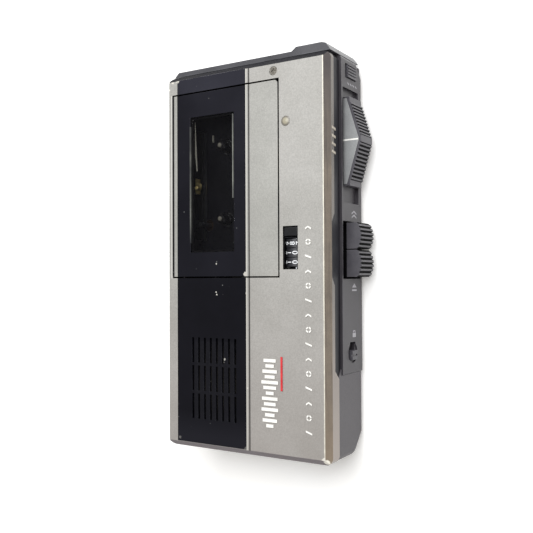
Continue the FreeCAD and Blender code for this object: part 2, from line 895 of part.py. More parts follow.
for name, y in SPINDLES.items():
    axle = rod(f"{name}_axle", "z", ("spindle_x", y, 11.2), 1.2, 5.3)
    reel_table = rod(f"{name}_table", "z", ("spindle_x", y, 11.2), 5.4, 1.4)
    hub = rod(f"{name}_hub", "z", ("spindle_x", y, "floor_top + 0.3"), "hub_radius - 0.6", 3.2)
    tip = cone(f"{name}_tip", ("spindle_x", y, "floor_top + 3.5"), "hub_radius - 0.6", 0.5, 1.0)
    splines = [
        rod(
            f"{name}_spline_{turn}", "z",
            (
                f"spindle_x + (hub_radius - 0.65) * cos({120 * turn + 90})",
                f"{y} + (hub_radius - 0.65) * sin({120 * turn + 90})",
                "floor_top + 0.3",
            ),
            0.5, 3.4,
        )
        for turn in range(3)
    ]
    collar = rod(f"{name}_collar", "z", ("spindle_x", y, "floor_top + 0.2"), "hub_radius", 0.6)
    keep(join(f"{name}_spindle", axle, reel_table, hub, tip, collar, *splines))

# ------------------------------------- flywheel, capstan, motor and its belt

wheel_disc = rod(
    "flywheel_disc", "z", ("capstan_x", "capstan_y", "belt_low + 1.8"), "flywheel_radius", 3.2
)
wheel_sheave = rod(
    "flywheel_sheave", "z", ("capstan_x", "capstan_y", "belt_low - 0.6"),
    "flywheel_radius - 1", 2.6,
)
capstan = rod(
    "capstan_pin", "z", ("capstan_x", "capstan_y", "belt_low"), "capstan_radius", 17
)
keep(join("flywheel", wheel_disc, wheel_sheave, capstan))

can = rod("motor_can", "z", ("motor_x", "motor_y", 6.6), "motor_radius", 9.4)
nose = rod("motor_nose", "z", ("motor_x", "motor_y", 6.0), 2.6, 1)
shaft_eye = rod("motor_eye", "z", ("motor_x", "motor_y", 5), "0.7 + running_gap", 8)
keep(cut("motor", join("motor_body", can, nose), shaft_eye))
sheave = rod("pulley_sheave", "z", ("motor_x", "motor_y", "belt_low - 0.6"), "pulley_radius", 2.6)
spindle = rod("motor_shaft", "z", ("motor_x", "motor_y", "belt_low"), 0.7, 8)
keep(join("motor_pulley", sheave, spindle))


def belt(label, first, first_radius, second, second_radius, low, width, thick):
    """A flat belt round two pulleys: arcs on the pulleys, straight runs between."""

    def loop(extra):
        big, small = first_radius + extra, second_radius + extra
        along = second - first
        lean = math.acos((big - small) / along.Length)
        heading = math.atan2(along.y, along.x)

        def at(centre, radius, turn):
            angle = heading + turn
            return centre + Vector(radius * math.cos(angle), radius * math.sin(angle), 0)

        pieces = [
            Part.Arc(at(first, big, lean), at(first, big, math.pi), at(first, big, -lean)),
            Part.LineSegment(at(first, big, -lean), at(second, small, -lean)),
            Part.Arc(at(second, small, -lean), at(second, small, 0), at(second, small, lean)),
            Part.LineSegment(at(second, small, lean), at(first, big, lean)),
        ]
        return Part.Face(Part.Wire([piece.toShape() for piece in pieces]))

    ring = loop(thick).cut(loop(0)).extrude(Vector(0, 0, width))
    feature = doc.addObject("Part::Feature", label)
    feature.Shape = ring
    feature.Placement = Placement(Vector(0, 0, low), Rotation())
    return feature


keep(belt(
    "drive_belt",
    Vector(sheet.capstan_x, sheet.capstan_y, 0), sheet.flywheel_radius - 1 + 0.12,
    Vector(sheet.motor_x, sheet.motor_y, 0), sheet.pulley_radius + 0.12,
    sheet.belt_low, 1.2, 0.5,
))

# ---------------------------------- head bridge with its heads and roller

bridge_plate = block("bridge_plate", (-26.9, -22.7), (7.6, 44.2), ("floor_top - 0.8", "floor_top"))
roller_post = rod("roller_post", "z", (-25.1, "capstan_y", "floor_top - 0.8"), 0.6, 5.2)
keep(join("head_bridge", bridge_plate, roller_post))
head_body = block("head_body", (-26.4, -23.6), (23.2, 28.4), ("floor_top", 20.8))
head_nose = rod("head_nose", "z", (-24.6, 25.8, "floor_top + 0.2"), 1.8, 4.2)
keep(join("playback_head", head_body, head_nose))
keep(block("erase_head", (-26.2, -23.4), (32.2, 35.4), ("floor_top", 20.4)))
roller = rod("roller_blank", "z", (-25.1, "capstan_y", "floor_top + 0.3"), 1.9, 3.8)
roller_eye = rod("roller_eye", "z", (-25.1, "capstan_y", 14), "0.6 + running_gap", 9)
keep(cut("pinch_roller", roller, roller_eye))

# -------------------------------------------------------- latch of the door

keep(block("door_latch", (-10.5, -3.5), (55.9, 59.6), (21.3, 22.8)))
spring_foot = block(
    "leaf_foot", (2.5, 7.5), ("well_low - well_wall - 0.25", "well_low - well_wall"),
    ("floor_top", "floor_top + 2.5"),
)
spring_bend = block(
    "leaf_bend", (2.5, 7.5), ("well_low - well_wall - 1", "well_low - well_wall"),
    ("floor_top + 2.5", "floor_top + 2.75"),
)
spring_blade = block(
    "leaf_blade", (2.5, 7.5), ("well_low - well_wall - 1", "well_low - well_wall - 0.75"),
    ("floor_top + 2.5", "front_face - door_thick - 0.3"),
)
keep(join("door_spring", spring_foot, spring_bend, spring_blade))

# ------------------------------------------------ main slide switch (thumb)

switch_outline = [
    ("half_width - track_depth + 0.15", "switch_low"),
    ("switch_end", "switch_low"),
    ("switch_end + 0.5", "switch_low + 2.6"),
    ("switch_peak", "switch_low + 13.2"),
    ("switch_peak", "switch_low + 15.3"),
    ("switch_end + 0.5", "switch_high - 2.6"),
    ("switch_end", "switch_high"),
    ("half_width - track_depth + 0.15", "switch_high"),
]
thumb = part_body("switch_thumb_piece")
pad(thumb, "switch_thumb", "XY_Plane", switch_outline, "switch_back", "switch_front")
doc.recompute()
stem = block("switch_stem", (27.4, "half_width - 1"), (29, 40), (7.8, 11.2))
keep(join("main_switch", thumb, stem))

# --------------------------------- fast-wind button, eject button and springs


def push_button(label, low, high):
    """A thumb button with a rounded outer face, and a stem to its spring."""
    middle = f"(({low}) + ({high})) / 2"
    head = block(
        f"{label}_head", (27.2, "button_peak"), (low, high), ("button_back", "button_front")
    )
    curve = rod(f"{label}_curve", "z", ("button_peak - 8", middle, 0), 8, 20)
    base = block(f"{label}_base", (27.2, 32.4), (low, high), ("button_back", "button_front"))
    rounded = join(f"{label}_round", overlap(f"{label}_crown", head, curve), base)
    guide = rod(f"{label}_guide", "x", (24, middle, 8.2), 0.9, 4)
    return keep(join(label, rounded, guide))


def coil_spring(label, middle, low_x, high_x, turns=4, radius=1.6, wire=0.3):
    """A compression spring of round wire along X, round a button's stem."""
    pitch = (high_x - low_x - 2 * wire) / turns
    helix = Part.makeHelix(pitch, pitch * turns, radius)
    circle = Part.Wire(Part.makeCircle(wire, Vector(radius, 0, 0), Vector(0, 1, 0)))
    feature = doc.addObject("Part::Feature", label)
    feature.Shape = Part.Wire(helix).makePipeShell([circle], True, True)
    feature.Placement = Placement(Vector(low_x + wire, middle, 8.2), TURNED_TO["x"])
    return keep(feature)


push_button("fast_button", "fast_low", "fast_high")
push_button("eject_button", "eject_low", "eject_high")
coil_spring("fast_spring", (sheet.fast_low + sheet.fast_high) / 2, 23.0, 27.1)
coil_spring("eject_spring", (sheet.eject_low + sheet.eject_high) / 2, 23.0, 27.1)
spring_wall = block("spring_wall_plate", (21.9, 22.9), (-5.6, 11.5), (4.5, 12.5))
wall_holes = [
    rod(f"stem_hole_{name}", "x", (21, f"({name}_low + {name}_high) / 2", 8.2), 1.0, 3)
    for name in ("fast", "eject")
]
keep(cut("button_guide", spring_wall, *wall_holes))

# ---------------------------------------------- lock slide and top slide

lock_thumb = block("lock_thumb", (29.0, 31.1), (-31.1, -28.2), (7.6, 11.0))
lock_groove = block("lock_groove", (30.7, 31.2), (-29.9, -29.4), (7, 12))
lock_foot = block("lock_foot", (27.2, 28.1), (-32.4, -26.0), (6.4, 12.2))
lock_neck = block("lock_neck", (28.0, 29.2), (-31.1, -28.2), (8.2, 10.4))
keep(cut("lock_slide", join("lock_body", lock_thumb, lock_foot, lock_neck), lock_groove))

top_thumb = block("top_thumb", (29.3, 30.9), (56.45, 60.45), (6.4, 12.4))
top_grooves = [
    block(f"top_groove_{i}", (30.5, 31), (57.1 + 0.9 * i, 57.5 + 0.9 * i), (6, 13))
    for i in range(4)
]
top_neck = block("top_neck", (27.75, 29.4), (57.7, 59.2), (7.8, 11))
keep(cut("tone_slide", join("tone_body", top_thumb, top_neck), *top_grooves))

# --------------------------------------------------------------- volume wheel

volume_disc = rod("volume_disc", "z", ("volume_x", "volume_y", 6.1), "volume_radius", 2.2)
volume_eye = rod("volume_eye", "z", ("volume_x", "volume_y", 5), "1.5 + running_gap", 6)
keep(cut("volume_wheel", volume_disc, volume_eye))
pot_body = rod("pot_body", "z", ("volume_x", "volume_y", 8.6), 4.0, 3.4)
pot_shaft = rod("pot_shaft", "z", ("volume_x", "volume_y", 5.9), 1.5, 3)
keep(join("volume_control", pot_body, pot_shaft))

# ------------------------------------------------------------------- speaker

rim = rod("speaker_rim", "z", ("speaker_x", "speaker_y", 21.6), "speaker_radius", 1.8)
basket = cone("speaker_cup", ("speaker_x", "speaker_y", 19.4), 8.5, "speaker_radius - 1", 2.2)
magnet = rod("speaker_magnet", "z", ("speaker_x", "speaker_y", 18.1), 7, 1.4)
inside = cone("speaker_inside", ("speaker_x", "speaker_y", 20.0), 6, "speaker_radius - 1.5", 3.4)
keep(cut("speaker_frame", join("speaker_metal", rim, basket, magnet), inside))
diaphragm = cone("diaphragm", ("speaker_x", "speaker_y", 20.3), 6, "speaker_radius - 3", 2.6)
dish = cone("dish", ("speaker_x", "speaker_y", 20.6), 5.6, "speaker_radius - 2.7", 2.6)
keep(cut("speaker_cone", diaphragm, dish))

# -------------------------------------------------------------------- sockets

for name, x in (("earphone", EARPHONE_X), ("microphone", MICROPHONE_JACK_X)):
    sleeve = rod(f"{name}_sleeve", "y", (x, "back_top - 12", "jack_height"),
                 "jack_sleeve", "cap_top - back_top + 12")
    shell = block(f"{name}_shell", (x - 3.4, x + 3.4), ("back_top - 13", "back_top - 1.7"),
                  ("jack_height - 3.4", "jack_height + 3.4"))
    bore = rod(f"{name}_bore", "y", (x, "back_top - 12", "jack_height"), "jack_bore", 16)
    keep(cut(f"{name}_jack", join(f"{name}_jack_body", sleeve, shell), bore))

# ------------------------------------------------------------ circuit boards

keep(block("main_board", (4, 27.4), (-57, -8), (18.9, 20.1)))
CHIPS = [
    (6, -30, 7, 10, 1.8), (16, -34, 6, 6, 1.6), (18, -18, 7, 5, 1.8), (6.5, -15, 5, 4, 2.4),
    (8, -50, 9, 6, 2.6), (20, -52, 5, 9, 2.8),
]
keep(group("board_parts", *[
    block(f"chip_{i}", (x, x + wide), (y, y + long), (20.1, 20.1 + tall))
    for i, (x, y, wide, long, tall) in enumerate(CHIPS)
]))

# --------------------------------------------------- cells, contacts and lid

cells = []
for i, x in enumerate((-7.8, 7.8)):
    can_length = "cell_length - 1.2"
    start = "cell_low" if i == 0 else "cell_low + 1.2"
    tip = "cell_low + cell_length - 1.2" if i == 0 else "cell_low"
    case = rod(f"cell_case_{i}", "y", (x, start, "cell_height"), "cell_radius", can_length)
    cap_tip = rod(f"cell_tip_{i}", "y", (x, tip, "cell_height"), 2.7, 1.2)
    cells.append(join(f"cell_{i}", case, cap_tip))
keep(group("cells", *cells))
keep(group(
    "cell_contacts",
    block("contact_link", (-12, 12), ("cell_low - 0.6", "cell_low - 0.02"), (6.5, 14)),
    block("contact_left", (-12, -3.5), ("cell_low + cell_length + 0.02", -1.2), (6.5, 13.5)),
    block("contact_right", (3.5, 12), ("cell_low + cell_length + 0.02", -1.2), (6.5, 13.5)),
))

lid_face = block("lid_face", ("-lid_half", "lid_half"), ("lid_low", "lid_high"), (0, 0.9))
lid_tongue = block(
    "lid_tongue", ("-lid_half - 0.9", "lid_half + 0.9"), ("lid_low", "lid_high"), (0.9, 1.5)
)
lid_grips = [
    block(f"lid_grip_{i}", (-6, 6), (-14 + 1.8 * i, -13.1 + 1.8 * i), (-0.5, 0.35))
    for i in range(5)
]
keep(cut("battery_lid", join("lid_body", lid_face, lid_tongue), *lid_grips))

# ------------------------------------------------------------------- writing

doc.recompute()

problems = []
for thing in doc.Objects:
    if "Invalid" in thing.State or "Error" in thing.State:
        problems.append(f"{thing.Label}: {thing.State}")
    if thing.isDerivedFrom("PartDesign::Pocket"):
        if thing.Shape.Volume > thing.BaseFeature.Shape.Volume - 0.01:
            problems.append(f"{thing.Label}: the pocket takes nothing away")
for name, piece in nodes.items():
    if piece.Shape.isNull() or not piece.Shape.isValid() or piece.Shape.Volume <= 0:
        problems.append(f"{name}: no valid shape")
if problems:
    sys.exit("\n".join(problems))

os.makedirs("parts", exist_ok=True)
for name, piece in nodes.items():
    piece.Shape.exportStep(f"parts/{name}.step")
    print(f"{name:24} {len(piece.Shape.Solids)} solid(s) {piece.Shape.Volume:10.1f} mm3")
print(len(nodes), "sub-parts")
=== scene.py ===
"""Looks of the handheld voice recorder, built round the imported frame, in metres."""

import math

import bmesh
import bpy
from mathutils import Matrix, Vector


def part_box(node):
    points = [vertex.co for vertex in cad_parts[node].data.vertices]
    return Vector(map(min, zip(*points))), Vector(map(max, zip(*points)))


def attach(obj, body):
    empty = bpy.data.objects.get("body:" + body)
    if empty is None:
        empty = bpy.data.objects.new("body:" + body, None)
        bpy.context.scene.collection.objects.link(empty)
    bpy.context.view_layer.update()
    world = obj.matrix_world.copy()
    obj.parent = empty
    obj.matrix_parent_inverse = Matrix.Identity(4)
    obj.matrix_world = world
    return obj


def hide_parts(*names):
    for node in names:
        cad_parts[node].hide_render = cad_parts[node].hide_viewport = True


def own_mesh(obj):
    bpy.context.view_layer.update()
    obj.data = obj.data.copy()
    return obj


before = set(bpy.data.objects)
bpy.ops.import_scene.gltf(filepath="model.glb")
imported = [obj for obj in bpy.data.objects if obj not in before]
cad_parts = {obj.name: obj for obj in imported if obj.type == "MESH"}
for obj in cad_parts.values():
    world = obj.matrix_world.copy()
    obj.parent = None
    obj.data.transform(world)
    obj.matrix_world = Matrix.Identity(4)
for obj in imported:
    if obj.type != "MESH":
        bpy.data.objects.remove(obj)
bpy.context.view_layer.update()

# ---------------------------------------------------------------- table, light and camera
# The recorder lies on its back on a plain white table, in a pale room with a warm tint.
# One large soft light hangs over its top end, towards the controls side.

MM = 0.001  # a millimetre in metres

scene = bpy.context.scene
scene.view_settings.view_transform = "Standard"


def linear(code):
    """An sRGB hex colour as linear RGBA."""
    parts = [int(code[i:i + 2], 16) / 255 for i in (1, 3, 5)]
    return [p / 12.92 if p <= 0.04045 else ((p + 0.055) / 1.055) ** 2.4 for p in parts] + [1.0]


def add(tree, kind, inputs=None, **settings):
    """Add one node, with its settings, and with each input linked or set."""
    node = tree.nodes.new(kind)
    for name, value in settings.items():
        setattr(node, name, value)
    for socket, value in (inputs or {}).items():
        if isinstance(value, bpy.types.NodeSocket):
            tree.links.new(value, node.inputs[socket])
        else:
            node.inputs[socket].default_value = value
    return node


def new_finish(name):
    """An empty material: its shader, and the place on the object in metres."""
    material = bpy.data.materials.new(name)
    material.use_nodes = True
    tree = material.node_tree
    tree.nodes.clear()
    shader = add(tree, "ShaderNodeBsdfPrincipled")
    add(tree, "ShaderNodeOutputMaterial", {"Surface": shader.outputs["BSDF"]})
    place = add(tree, "ShaderNodeTexCoord").outputs["Object"]
    return material, tree, shader, place


def remapped(tree, value, low, high, to_low=0.0, to_high=1.0):
    """A value moved from one range to another and held inside it."""
    return add(tree, "ShaderNodeMapRange", {
        "Value": value, "From Min": low, "From Max": high, "To Min": to_low, "To Max": to_high,
    }).outputs["Result"]


NOISE_LOW, NOISE_HIGH = 0.3, 0.7  # nearly all of a noise's values lie between these


def aged(name, shades, patch_mm, grain_mm, relief_mm, roughness, speckle=0.0, worn=None,
         edge_mm=0.25, rub=(0.42, 0.62), fixed=None):
    """A surface with slow patches, fine grain in relief, uneven gloss and rubbed edges."""
    material, tree, shader, place = new_finish(name)
    patches = add(tree, "ShaderNodeTexNoise", {
        "Vector": place, "Scale": 1 / (patch_mm * MM), "Detail": 5.0, "Roughness": 0.6,
    }).outputs["Fac"]
    grain = add(tree, "ShaderNodeTexNoise", {
        "Vector": place, "Scale": 1 / (grain_mm * MM), "Detail": 2.0,
    }).outputs["Fac"]
    colour = add(tree, "ShaderNodeMixRGB", {
        "Fac": remapped(tree, patches, NOISE_LOW, NOISE_HIGH),
        "Color1": linear(shades[0]), "Color2": linear(shades[1]),
    }).outputs["Color"]
    if speckle:
        colour = add(tree, "ShaderNodeMixRGB", {
            "Fac": 1.0, "Color1": colour,
            "Color2": remapped(tree, grain, NOISE_LOW, NOISE_HIGH, 1 - speckle, 1 + speckle),
        }, blend_type="MULTIPLY").outputs["Color"]
    gloss = remapped(tree, patches, NOISE_LOW, NOISE_HIGH, *roughness)
    if worn:
        rounded = add(tree, "ShaderNodeBevel", {"Radius": edge_mm * MM}, samples=6)
        facing = add(tree, "ShaderNodeVectorMath", {
            0: rounded.outputs["Normal"],
            1: add(tree, "ShaderNodeNewGeometry").outputs["Normal"],
        }, operation="DOT_PRODUCT").outputs["Value"]
        rubbed = add(tree, "ShaderNodeMath", {
            0: remapped(tree, facing, 0.99, 0.9), 1: remapped(tree, patches, *rub),
        }, operation="MULTIPLY").outputs["Value"]
        colour = add(tree, "ShaderNodeMixRGB", {
            "Fac": rubbed, "Color1": colour, "Color2": linear(worn),
        }).outputs["Color"]
    relief = add(tree, "ShaderNodeBump", {"Height": grain, "Distance": relief_mm * MM})
    tree.links.new(colour, shader.inputs["Base Color"])
    tree.links.new(gloss, shader.inputs["Roughness"])
    tree.links.new(relief.outputs["Normal"], shader.inputs["Normal"])
    for socket, value in (fixed or {}).items():
        shader.inputs[socket].default_value = value
    return material


# matt white card on a light table: even, with the faintest mottling and no hard shadow
white_card = aged("white_card_matt", ("#fbfaf8", "#ffffff"), 40, 0.6, 0.01, (0.8, 0.9), fixed={
    "Emission Color": (1.0, 0.985, 0.95, 1.0), "Emission Strength": 0.2,
})
table_width = 3.0
table_level = -0.05 * MM  # a hair below the case's back
bpy.ops.mesh.primitive_plane_add(size=table_width, location=(0, 0, table_level))
table = bpy.context.active_object
table.name = "table_top"
table.data.materials.append(white_card)

room = bpy.data.worlds.new("studio_room")
scene.world = room
room.use_nodes = True
walls = room.node_tree.nodes["Background"]
walls.inputs["Color"].default_value = (1.0, 0.965, 0.92, 1.0)
walls.inputs["Strength"].default_value = 0.33


def soft_light(name, place, size, power, tint):
    """A square soft box that faces the recorder."""
    lamp = bpy.data.lights.new(name, "AREA")
    lamp.size = size
    lamp.energy = power
    lamp.color = tint
    holder = bpy.data.objects.new(name, lamp)
    holder.location = place
    holder.rotation_euler = (-Vector(place)).to_track_quat("-Z", "Y").to_euler()
    scene.collection.objects.link(holder)


soft_light("key_light", place=(0.13, 0.24, 0.52), size=0.55, power=5.0, tint=(0.97, 0.985, 1.0))

# the camera looks down on the face from the controls side
camera_lens = bpy.data.cameras.new("camera")
camera_lens.lens = 50.21
camera_lens.sensor_width = 36
camera = bpy.data.objects.new("camera", camera_lens)
camera.location = (0.1303, -0.0062, 0.2201)
camera.rotation_mode = "ZXY"
camera.rotation_euler = (math.radians(1.03), math.radians(31.96), math.radians(-0.25))
scene.collection.objects.link(camera)
scene.camera = camera

# ---------------------------------------------------------------- back shell
# The deep back half of the case, moulded in dark grey ABS with a spark-eroded
# texture. Its bottom end is bevelled, and four screws hold it to the front half.

SHARP_DEG = 35  # an edge that turns by more than this stays crisp
FLAT_DEG = 0.5  # faces that turn by less than this are one face
WELD = 1e-6  # corners nearer than this, in metres, are one corner


def placed(name, mesh, body, material, replaced=()):
    """Put a finished mesh on its body, in place of the frame's nodes it stands for."""
    piece = bpy.data.objects.new(name, mesh)
    scene.collection.objects.link(piece)
    mesh.materials.append(material)
    mesh.polygons.foreach_set("use_smooth", [True] * len(mesh.polygons))
    mesh.set_sharp_from_angle(angle=math.radians(SHARP_DEG))
    even = piece.modifiers.new("even_normals", "WEIGHTED_NORMAL")
    even.keep_sharp = True
    even.weight = 100
    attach(piece, body)
    if replaced:
        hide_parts(*replaced)
    return piece


def softened(node, body, material, width=0.12, least_turn=30):
    """A node's shape with its sharp edges rounded as a mould or a press leaves them."""
    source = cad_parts[node].data
    mesh = bpy.data.meshes.new(f"{node}_finished")
    mesh.from_pydata(
        [v.co for v in source.vertices], [], [tuple(p.vertices) for p in source.polygons]
    )
    shape = bmesh.new()
    shape.from_mesh(mesh)
    bmesh.ops.remove_doubles(shape, verts=shape.verts, dist=WELD)
    bmesh.ops.dissolve_limit(
        shape, angle_limit=math.radians(FLAT_DEG), verts=shape.verts, edges=shape.edges
    )
    sharp = [
        edge for edge in shape.edges
        if len(edge.link_faces) == 2 and edge.calc_face_angle() > math.radians(least_turn)
    ]
    bmesh.ops.bevel(
        shape, geom=sharp, offset=width * MM, segments=2, profile=0.5, affect="EDGES",
        clamp_overlap=True,
    )
    bmesh.ops.recalc_face_normals(shape, faces=shape.faces)
    shape.to_mesh(mesh)
    shape.free()
    return placed(f"{node}_finished", mesh, body, material, [node])


# spark-textured ABS: a fine even grain, soft sheen, slightly polished where it is held
textured_abs = aged(
    "abs_dark_grey_textured", ("#434044", "#4e4b4f"), 14, 0.35, 0.03, (0.42, 0.56),
    speckle=0.14, worn="#77747a", edge_mm=0.35,
)
softened("back_shell", "case", textured_abs, 0.2)
softened("battery_lid", "battery_lid", textured_abs, 0.15)

# blackened steel: dark, with bare metal on the driver's edges
black_steel = aged(
    "steel_blackened", ("#4f4944", "#7a7168"), 1.2, 0.1, 0.006, (0.3, 0.45), worn="#b5aa9c",
    edge_mm=0.12, rub=(0.3, 0.5), fixed={"Metallic": 0.6},
)
softened("rear_screws", "case", black_steel, 0.06)

# ---------------------------------------------------------------- works inside the case
# Deck plate, flywheel, motor, belt, board, cells and the rest are pressed, turned or
# bought in, and are seen only through the door, the grille and the open battery bay.


def dressed(material, *nodes):
    """Give frame nodes that keep their shape a finish."""
    for node in nodes:
        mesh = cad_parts[node].data
        mesh.materials.clear()
        mesh.materials.append(material)


# zinc-plated steel sheet: cool grey, cloudy, satin
plated_steel = aged(
    "steel_zinc_plated", ("#8d8f92", "#b4b6b8"), 5, 0.15, 0.004, (0.28, 0.42), worn="#d6d7d8",
    edge_mm=0.15, fixed={"Metallic": 1.0},
)
dressed(plated_steel, "deck_plate", "flywheel", "motor", "counter_shaft", "door_hinge_pins",
        "microphone")
# black-phosphated steel: dull and dark, so that it keeps out of sight behind window and slits
phosphated = aged(
    "steel_black_phosphated", ("#131416", "#1f2022"), 4, 0.2, 0.006, (0.5, 0.65), worn="#3c3d40",
    edge_mm=0.12, fixed={"Metallic": 0.3},
)
dressed(phosphated, "head_bridge", "erase_head", "speaker_frame")
# nickel-plated spring steel: brighter and smoother
nickel_steel = aged(
    "spring_steel_nickel_plated", ("#b9b7b0", "#d8d6cf"), 3, 0.1, 0.003, (0.18, 0.3),
    fixed={"Metallic": 1.0},
)
dressed(nickel_steel, "door_spring", "cell_contacts")
# turned brass: warm and bright with darker stains
turned_brass = aged(
    "brass_turned", ("#a98442", "#cda863"), 2.5, 0.1, 0.004, (0.22, 0.38),
    fixed={"Metallic": 1.0},
)
dressed(turned_brass, "motor_pulley")
# sintered bronze, soaked with oil: dark brown and matt
oiled_bronze = aged(
    "bronze_sintered_oiled", ("#2e2418", "#463725"), 2, 0.15, 0.01, (0.5, 0.65),
    fixed={"Metallic": 0.5},
)
dressed(oiled_bronze, "capstan_bush")
# moulded black ABS: even, satin, grey along handled edges
black_abs = aged(
    "abs_black_moulded", ("#111117", "#1a1a22"), 9, 0.3, 0.012, (0.38, 0.52), worn="#3c3c44",
    edge_mm=0.2, fixed={"Specular IOR Level": 0.35},
)
dressed(black_abs, "door_latch", "button_guide", "volume_control")
# moulded rubber: dead matt with a dusty bloom
black_rubber = aged(
    "rubber_black_moulded", ("#161515", "#292726"), 1.5, 0.12, 0.01, (0.7, 0.9),
)
dressed(black_rubber, "drive_belt", "pinch_roller")
# pressed paper: fibrous and dull
paper = aged("paper_pressed_black", ("#1d1b19", "#34302b"), 1.0, 0.2, 0.05, (0.85, 0.95),
             speckle=0.25)
dressed(paper, "speaker_cone")
# glass-fibre board under green lacquer: slight weave, glossy
lacquered_board = aged(
    "board_green_lacquered", ("#1f5a2c", "#2f7a3d"), 6, 0.5, 0.01, (0.2, 0.35), worn="#b7a36a",
)
dressed(lacquered_board, "main_board")
# moulded epoxy of chips: charcoal, matt
epoxy = aged("epoxy_black_moulded", ("#191919", "#262626"), 2, 0.15, 0.01, (0.45, 0.6))
dressed(epoxy, "board_parts")
# printed film on a steel can: glossy charcoal
printed_can = aged(
    "steel_can_printed_film", ("#1f1d1b", "#2f2b27"), 12, 0.3, 0.004, (0.2, 0.3),
    worn="#8f8a80", fixed={"Metallic": 0.3},
)
dressed(printed_can, "cells")

# ---------------------------------------------------------------- tape well and reel spindles
# A black moulded tray that the cassette drops into, with two keyed spindles that turn
# its hubs. The tape head and the pinch roller sit on a steel bridge that slides up to it.

softened("cassette_well", "case", black_abs, 0.15)


def shader_of(material):
    """A finish's node tree, its shader and the place on the object."""
    tree = material.node_tree
    shader = next(n for n in tree.nodes if n.type == "BSDF_PRINCIPLED")
    place = next(n for n in tree.nodes if n.type == "TEX_COORD").outputs["Object"]
    return tree, shader, place


def paint_over(material, mask, shade):
    """Lay one more colour over a finish where the mask says."""
    tree, shader, _ = shader_of(material)
    below = shader.inputs["Base Color"].links[0].from_socket
    mixed = add(tree, "ShaderNodeMixRGB", {"Fac": mask, "Color1": below, "Color2": linear(shade)})
    tree.links.new(mixed.outputs["Color"], shader.inputs["Base Color"])


# moulded acetal: dark, with a painted glint on each tapered tip, so that the tips show pale through the
# dark window
spindle_acetal = aged("acetal_dark_moulded", ("#1f1e20", "#2c2a2d"), 3, 0.2, 0.006, (0.3, 0.42))
tree, _, place = shader_of(spindle_acetal)
height = add(tree, "ShaderNodeSeparateXYZ", {"Vector": place}).outputs["Z"]
glint_fade_below, glint_above = 20.1, 20.4  # heights on the tapered tip, in millimetres
# the pale colour on the tip is a painted glint
paint_over(spindle_acetal, remapped(tree, height, glint_fade_below * MM, glint_above * MM), "#b9b4a6")
for reel in ("takeup_spindle", "supply_spindle"):
    softened(reel, reel, spindle_acetal, 0.08)
# lapped permalloy: yellowish metal, polished where the tape runs, and painted pale gold as a glint that
# shows through the dark window
lapped_gold_glint = aged(
    "permalloy_lapped", ("#c9b06c", "#efdc9c"), 2, 0.1, 0.002, (0.3, 0.42), worn="#f6ecc6",
    fixed={"Metallic": 0.4},
)
softened("playback_head", "head_bridge", lapped_gold_glint, 0.1)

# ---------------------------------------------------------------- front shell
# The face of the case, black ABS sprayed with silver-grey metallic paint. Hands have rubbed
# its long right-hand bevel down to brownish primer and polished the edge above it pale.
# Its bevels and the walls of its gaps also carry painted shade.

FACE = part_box("front_shell")[1].z / MM  # height of the silver face above the table


def mask_product(tree, *values):
    """Several masks multiplied together."""
    result = values[0]
    for value in values[1:]:
        result = add(tree, "ShaderNodeMath", {0: result, 1: value},
                     operation="MULTIPLY").outputs["Value"]
    return result


def ragged_place(material, reach_mm, lump_mm):
    """The place on the object, pushed about by noise, so that marks get ragged rims."""
    tree, _, place = shader_of(material)
    noise = add(tree, "ShaderNodeTexNoise", {
        "Vector": place, "Scale": 1 / (lump_mm * MM), "Detail": 3.0,
    }).outputs["Color"]
    centred = add(tree, "ShaderNodeVectorMath", {0: noise, 1: (0.5, 0.5, 0.5)},
                  operation="SUBTRACT").outputs["Vector"]
    pushed = add(tree, "ShaderNodeVectorMath", {0: centred, "Scale": 2 * reach_mm * MM},
                 operation="SCALE").outputs["Vector"]
    return add(tree, "ShaderNodeVectorMath", {0: place, 1: pushed},
               operation="ADD").outputs["Vector"]


def chip_mask(material, chips, reach_mm=0.35, lump_mm=0.7):
    """Where paint has chipped off: ragged spots, each (x, y, z, radius) in millimetres."""
    tree = material.node_tree
    rough_place = ragged_place(material, reach_mm, lump_mm)
    whole = None
    for x, y, z, radius in chips:
        away = add(tree, "ShaderNodeVectorMath", {
            0: rough_place, 1: (x * MM, y * MM, z * MM),
        }, operation="DISTANCE").outputs["Value"]
        spot = remapped(tree, away, radius * 1.1 * MM, radius * 0.85 * MM)
        whole = spot if whole is None else add(
            tree, "ShaderNodeMath", {0: whole, 1: spot}, operation="MAXIMUM"
        ).outputs["Value"]
    return whole


def lay_line(material, low, high, shade, start_y=-70.0, end_y=70.0):
    """A line of another colour along the face, between two X places in millimetres."""
    rim, fade_in, fade_out = 0.08, 1.0, 0.2
    deep, shallow, cover = FACE - 0.5, FACE - 0.4, 0.85
    tree, _, place = shader_of(material)
    here = add(tree, "ShaderNodeSeparateXYZ", {"Vector": place})
    paint_over(material, mask_product(
        tree,
        remapped(tree, here.outputs["X"], (low - rim) * MM, low * MM),
        remapped(tree, here.outputs["X"], (high + rim) * MM, high * MM),
        remapped(tree, here.outputs["Y"], start_y * MM, (start_y + fade_in) * MM),
        remapped(tree, here.outputs["Y"], end_y * MM, (end_y - fade_out) * MM),
        remapped(tree, here.outputs["Z"], deep * MM, shallow * MM, 0.0, cover),
    ), shade)


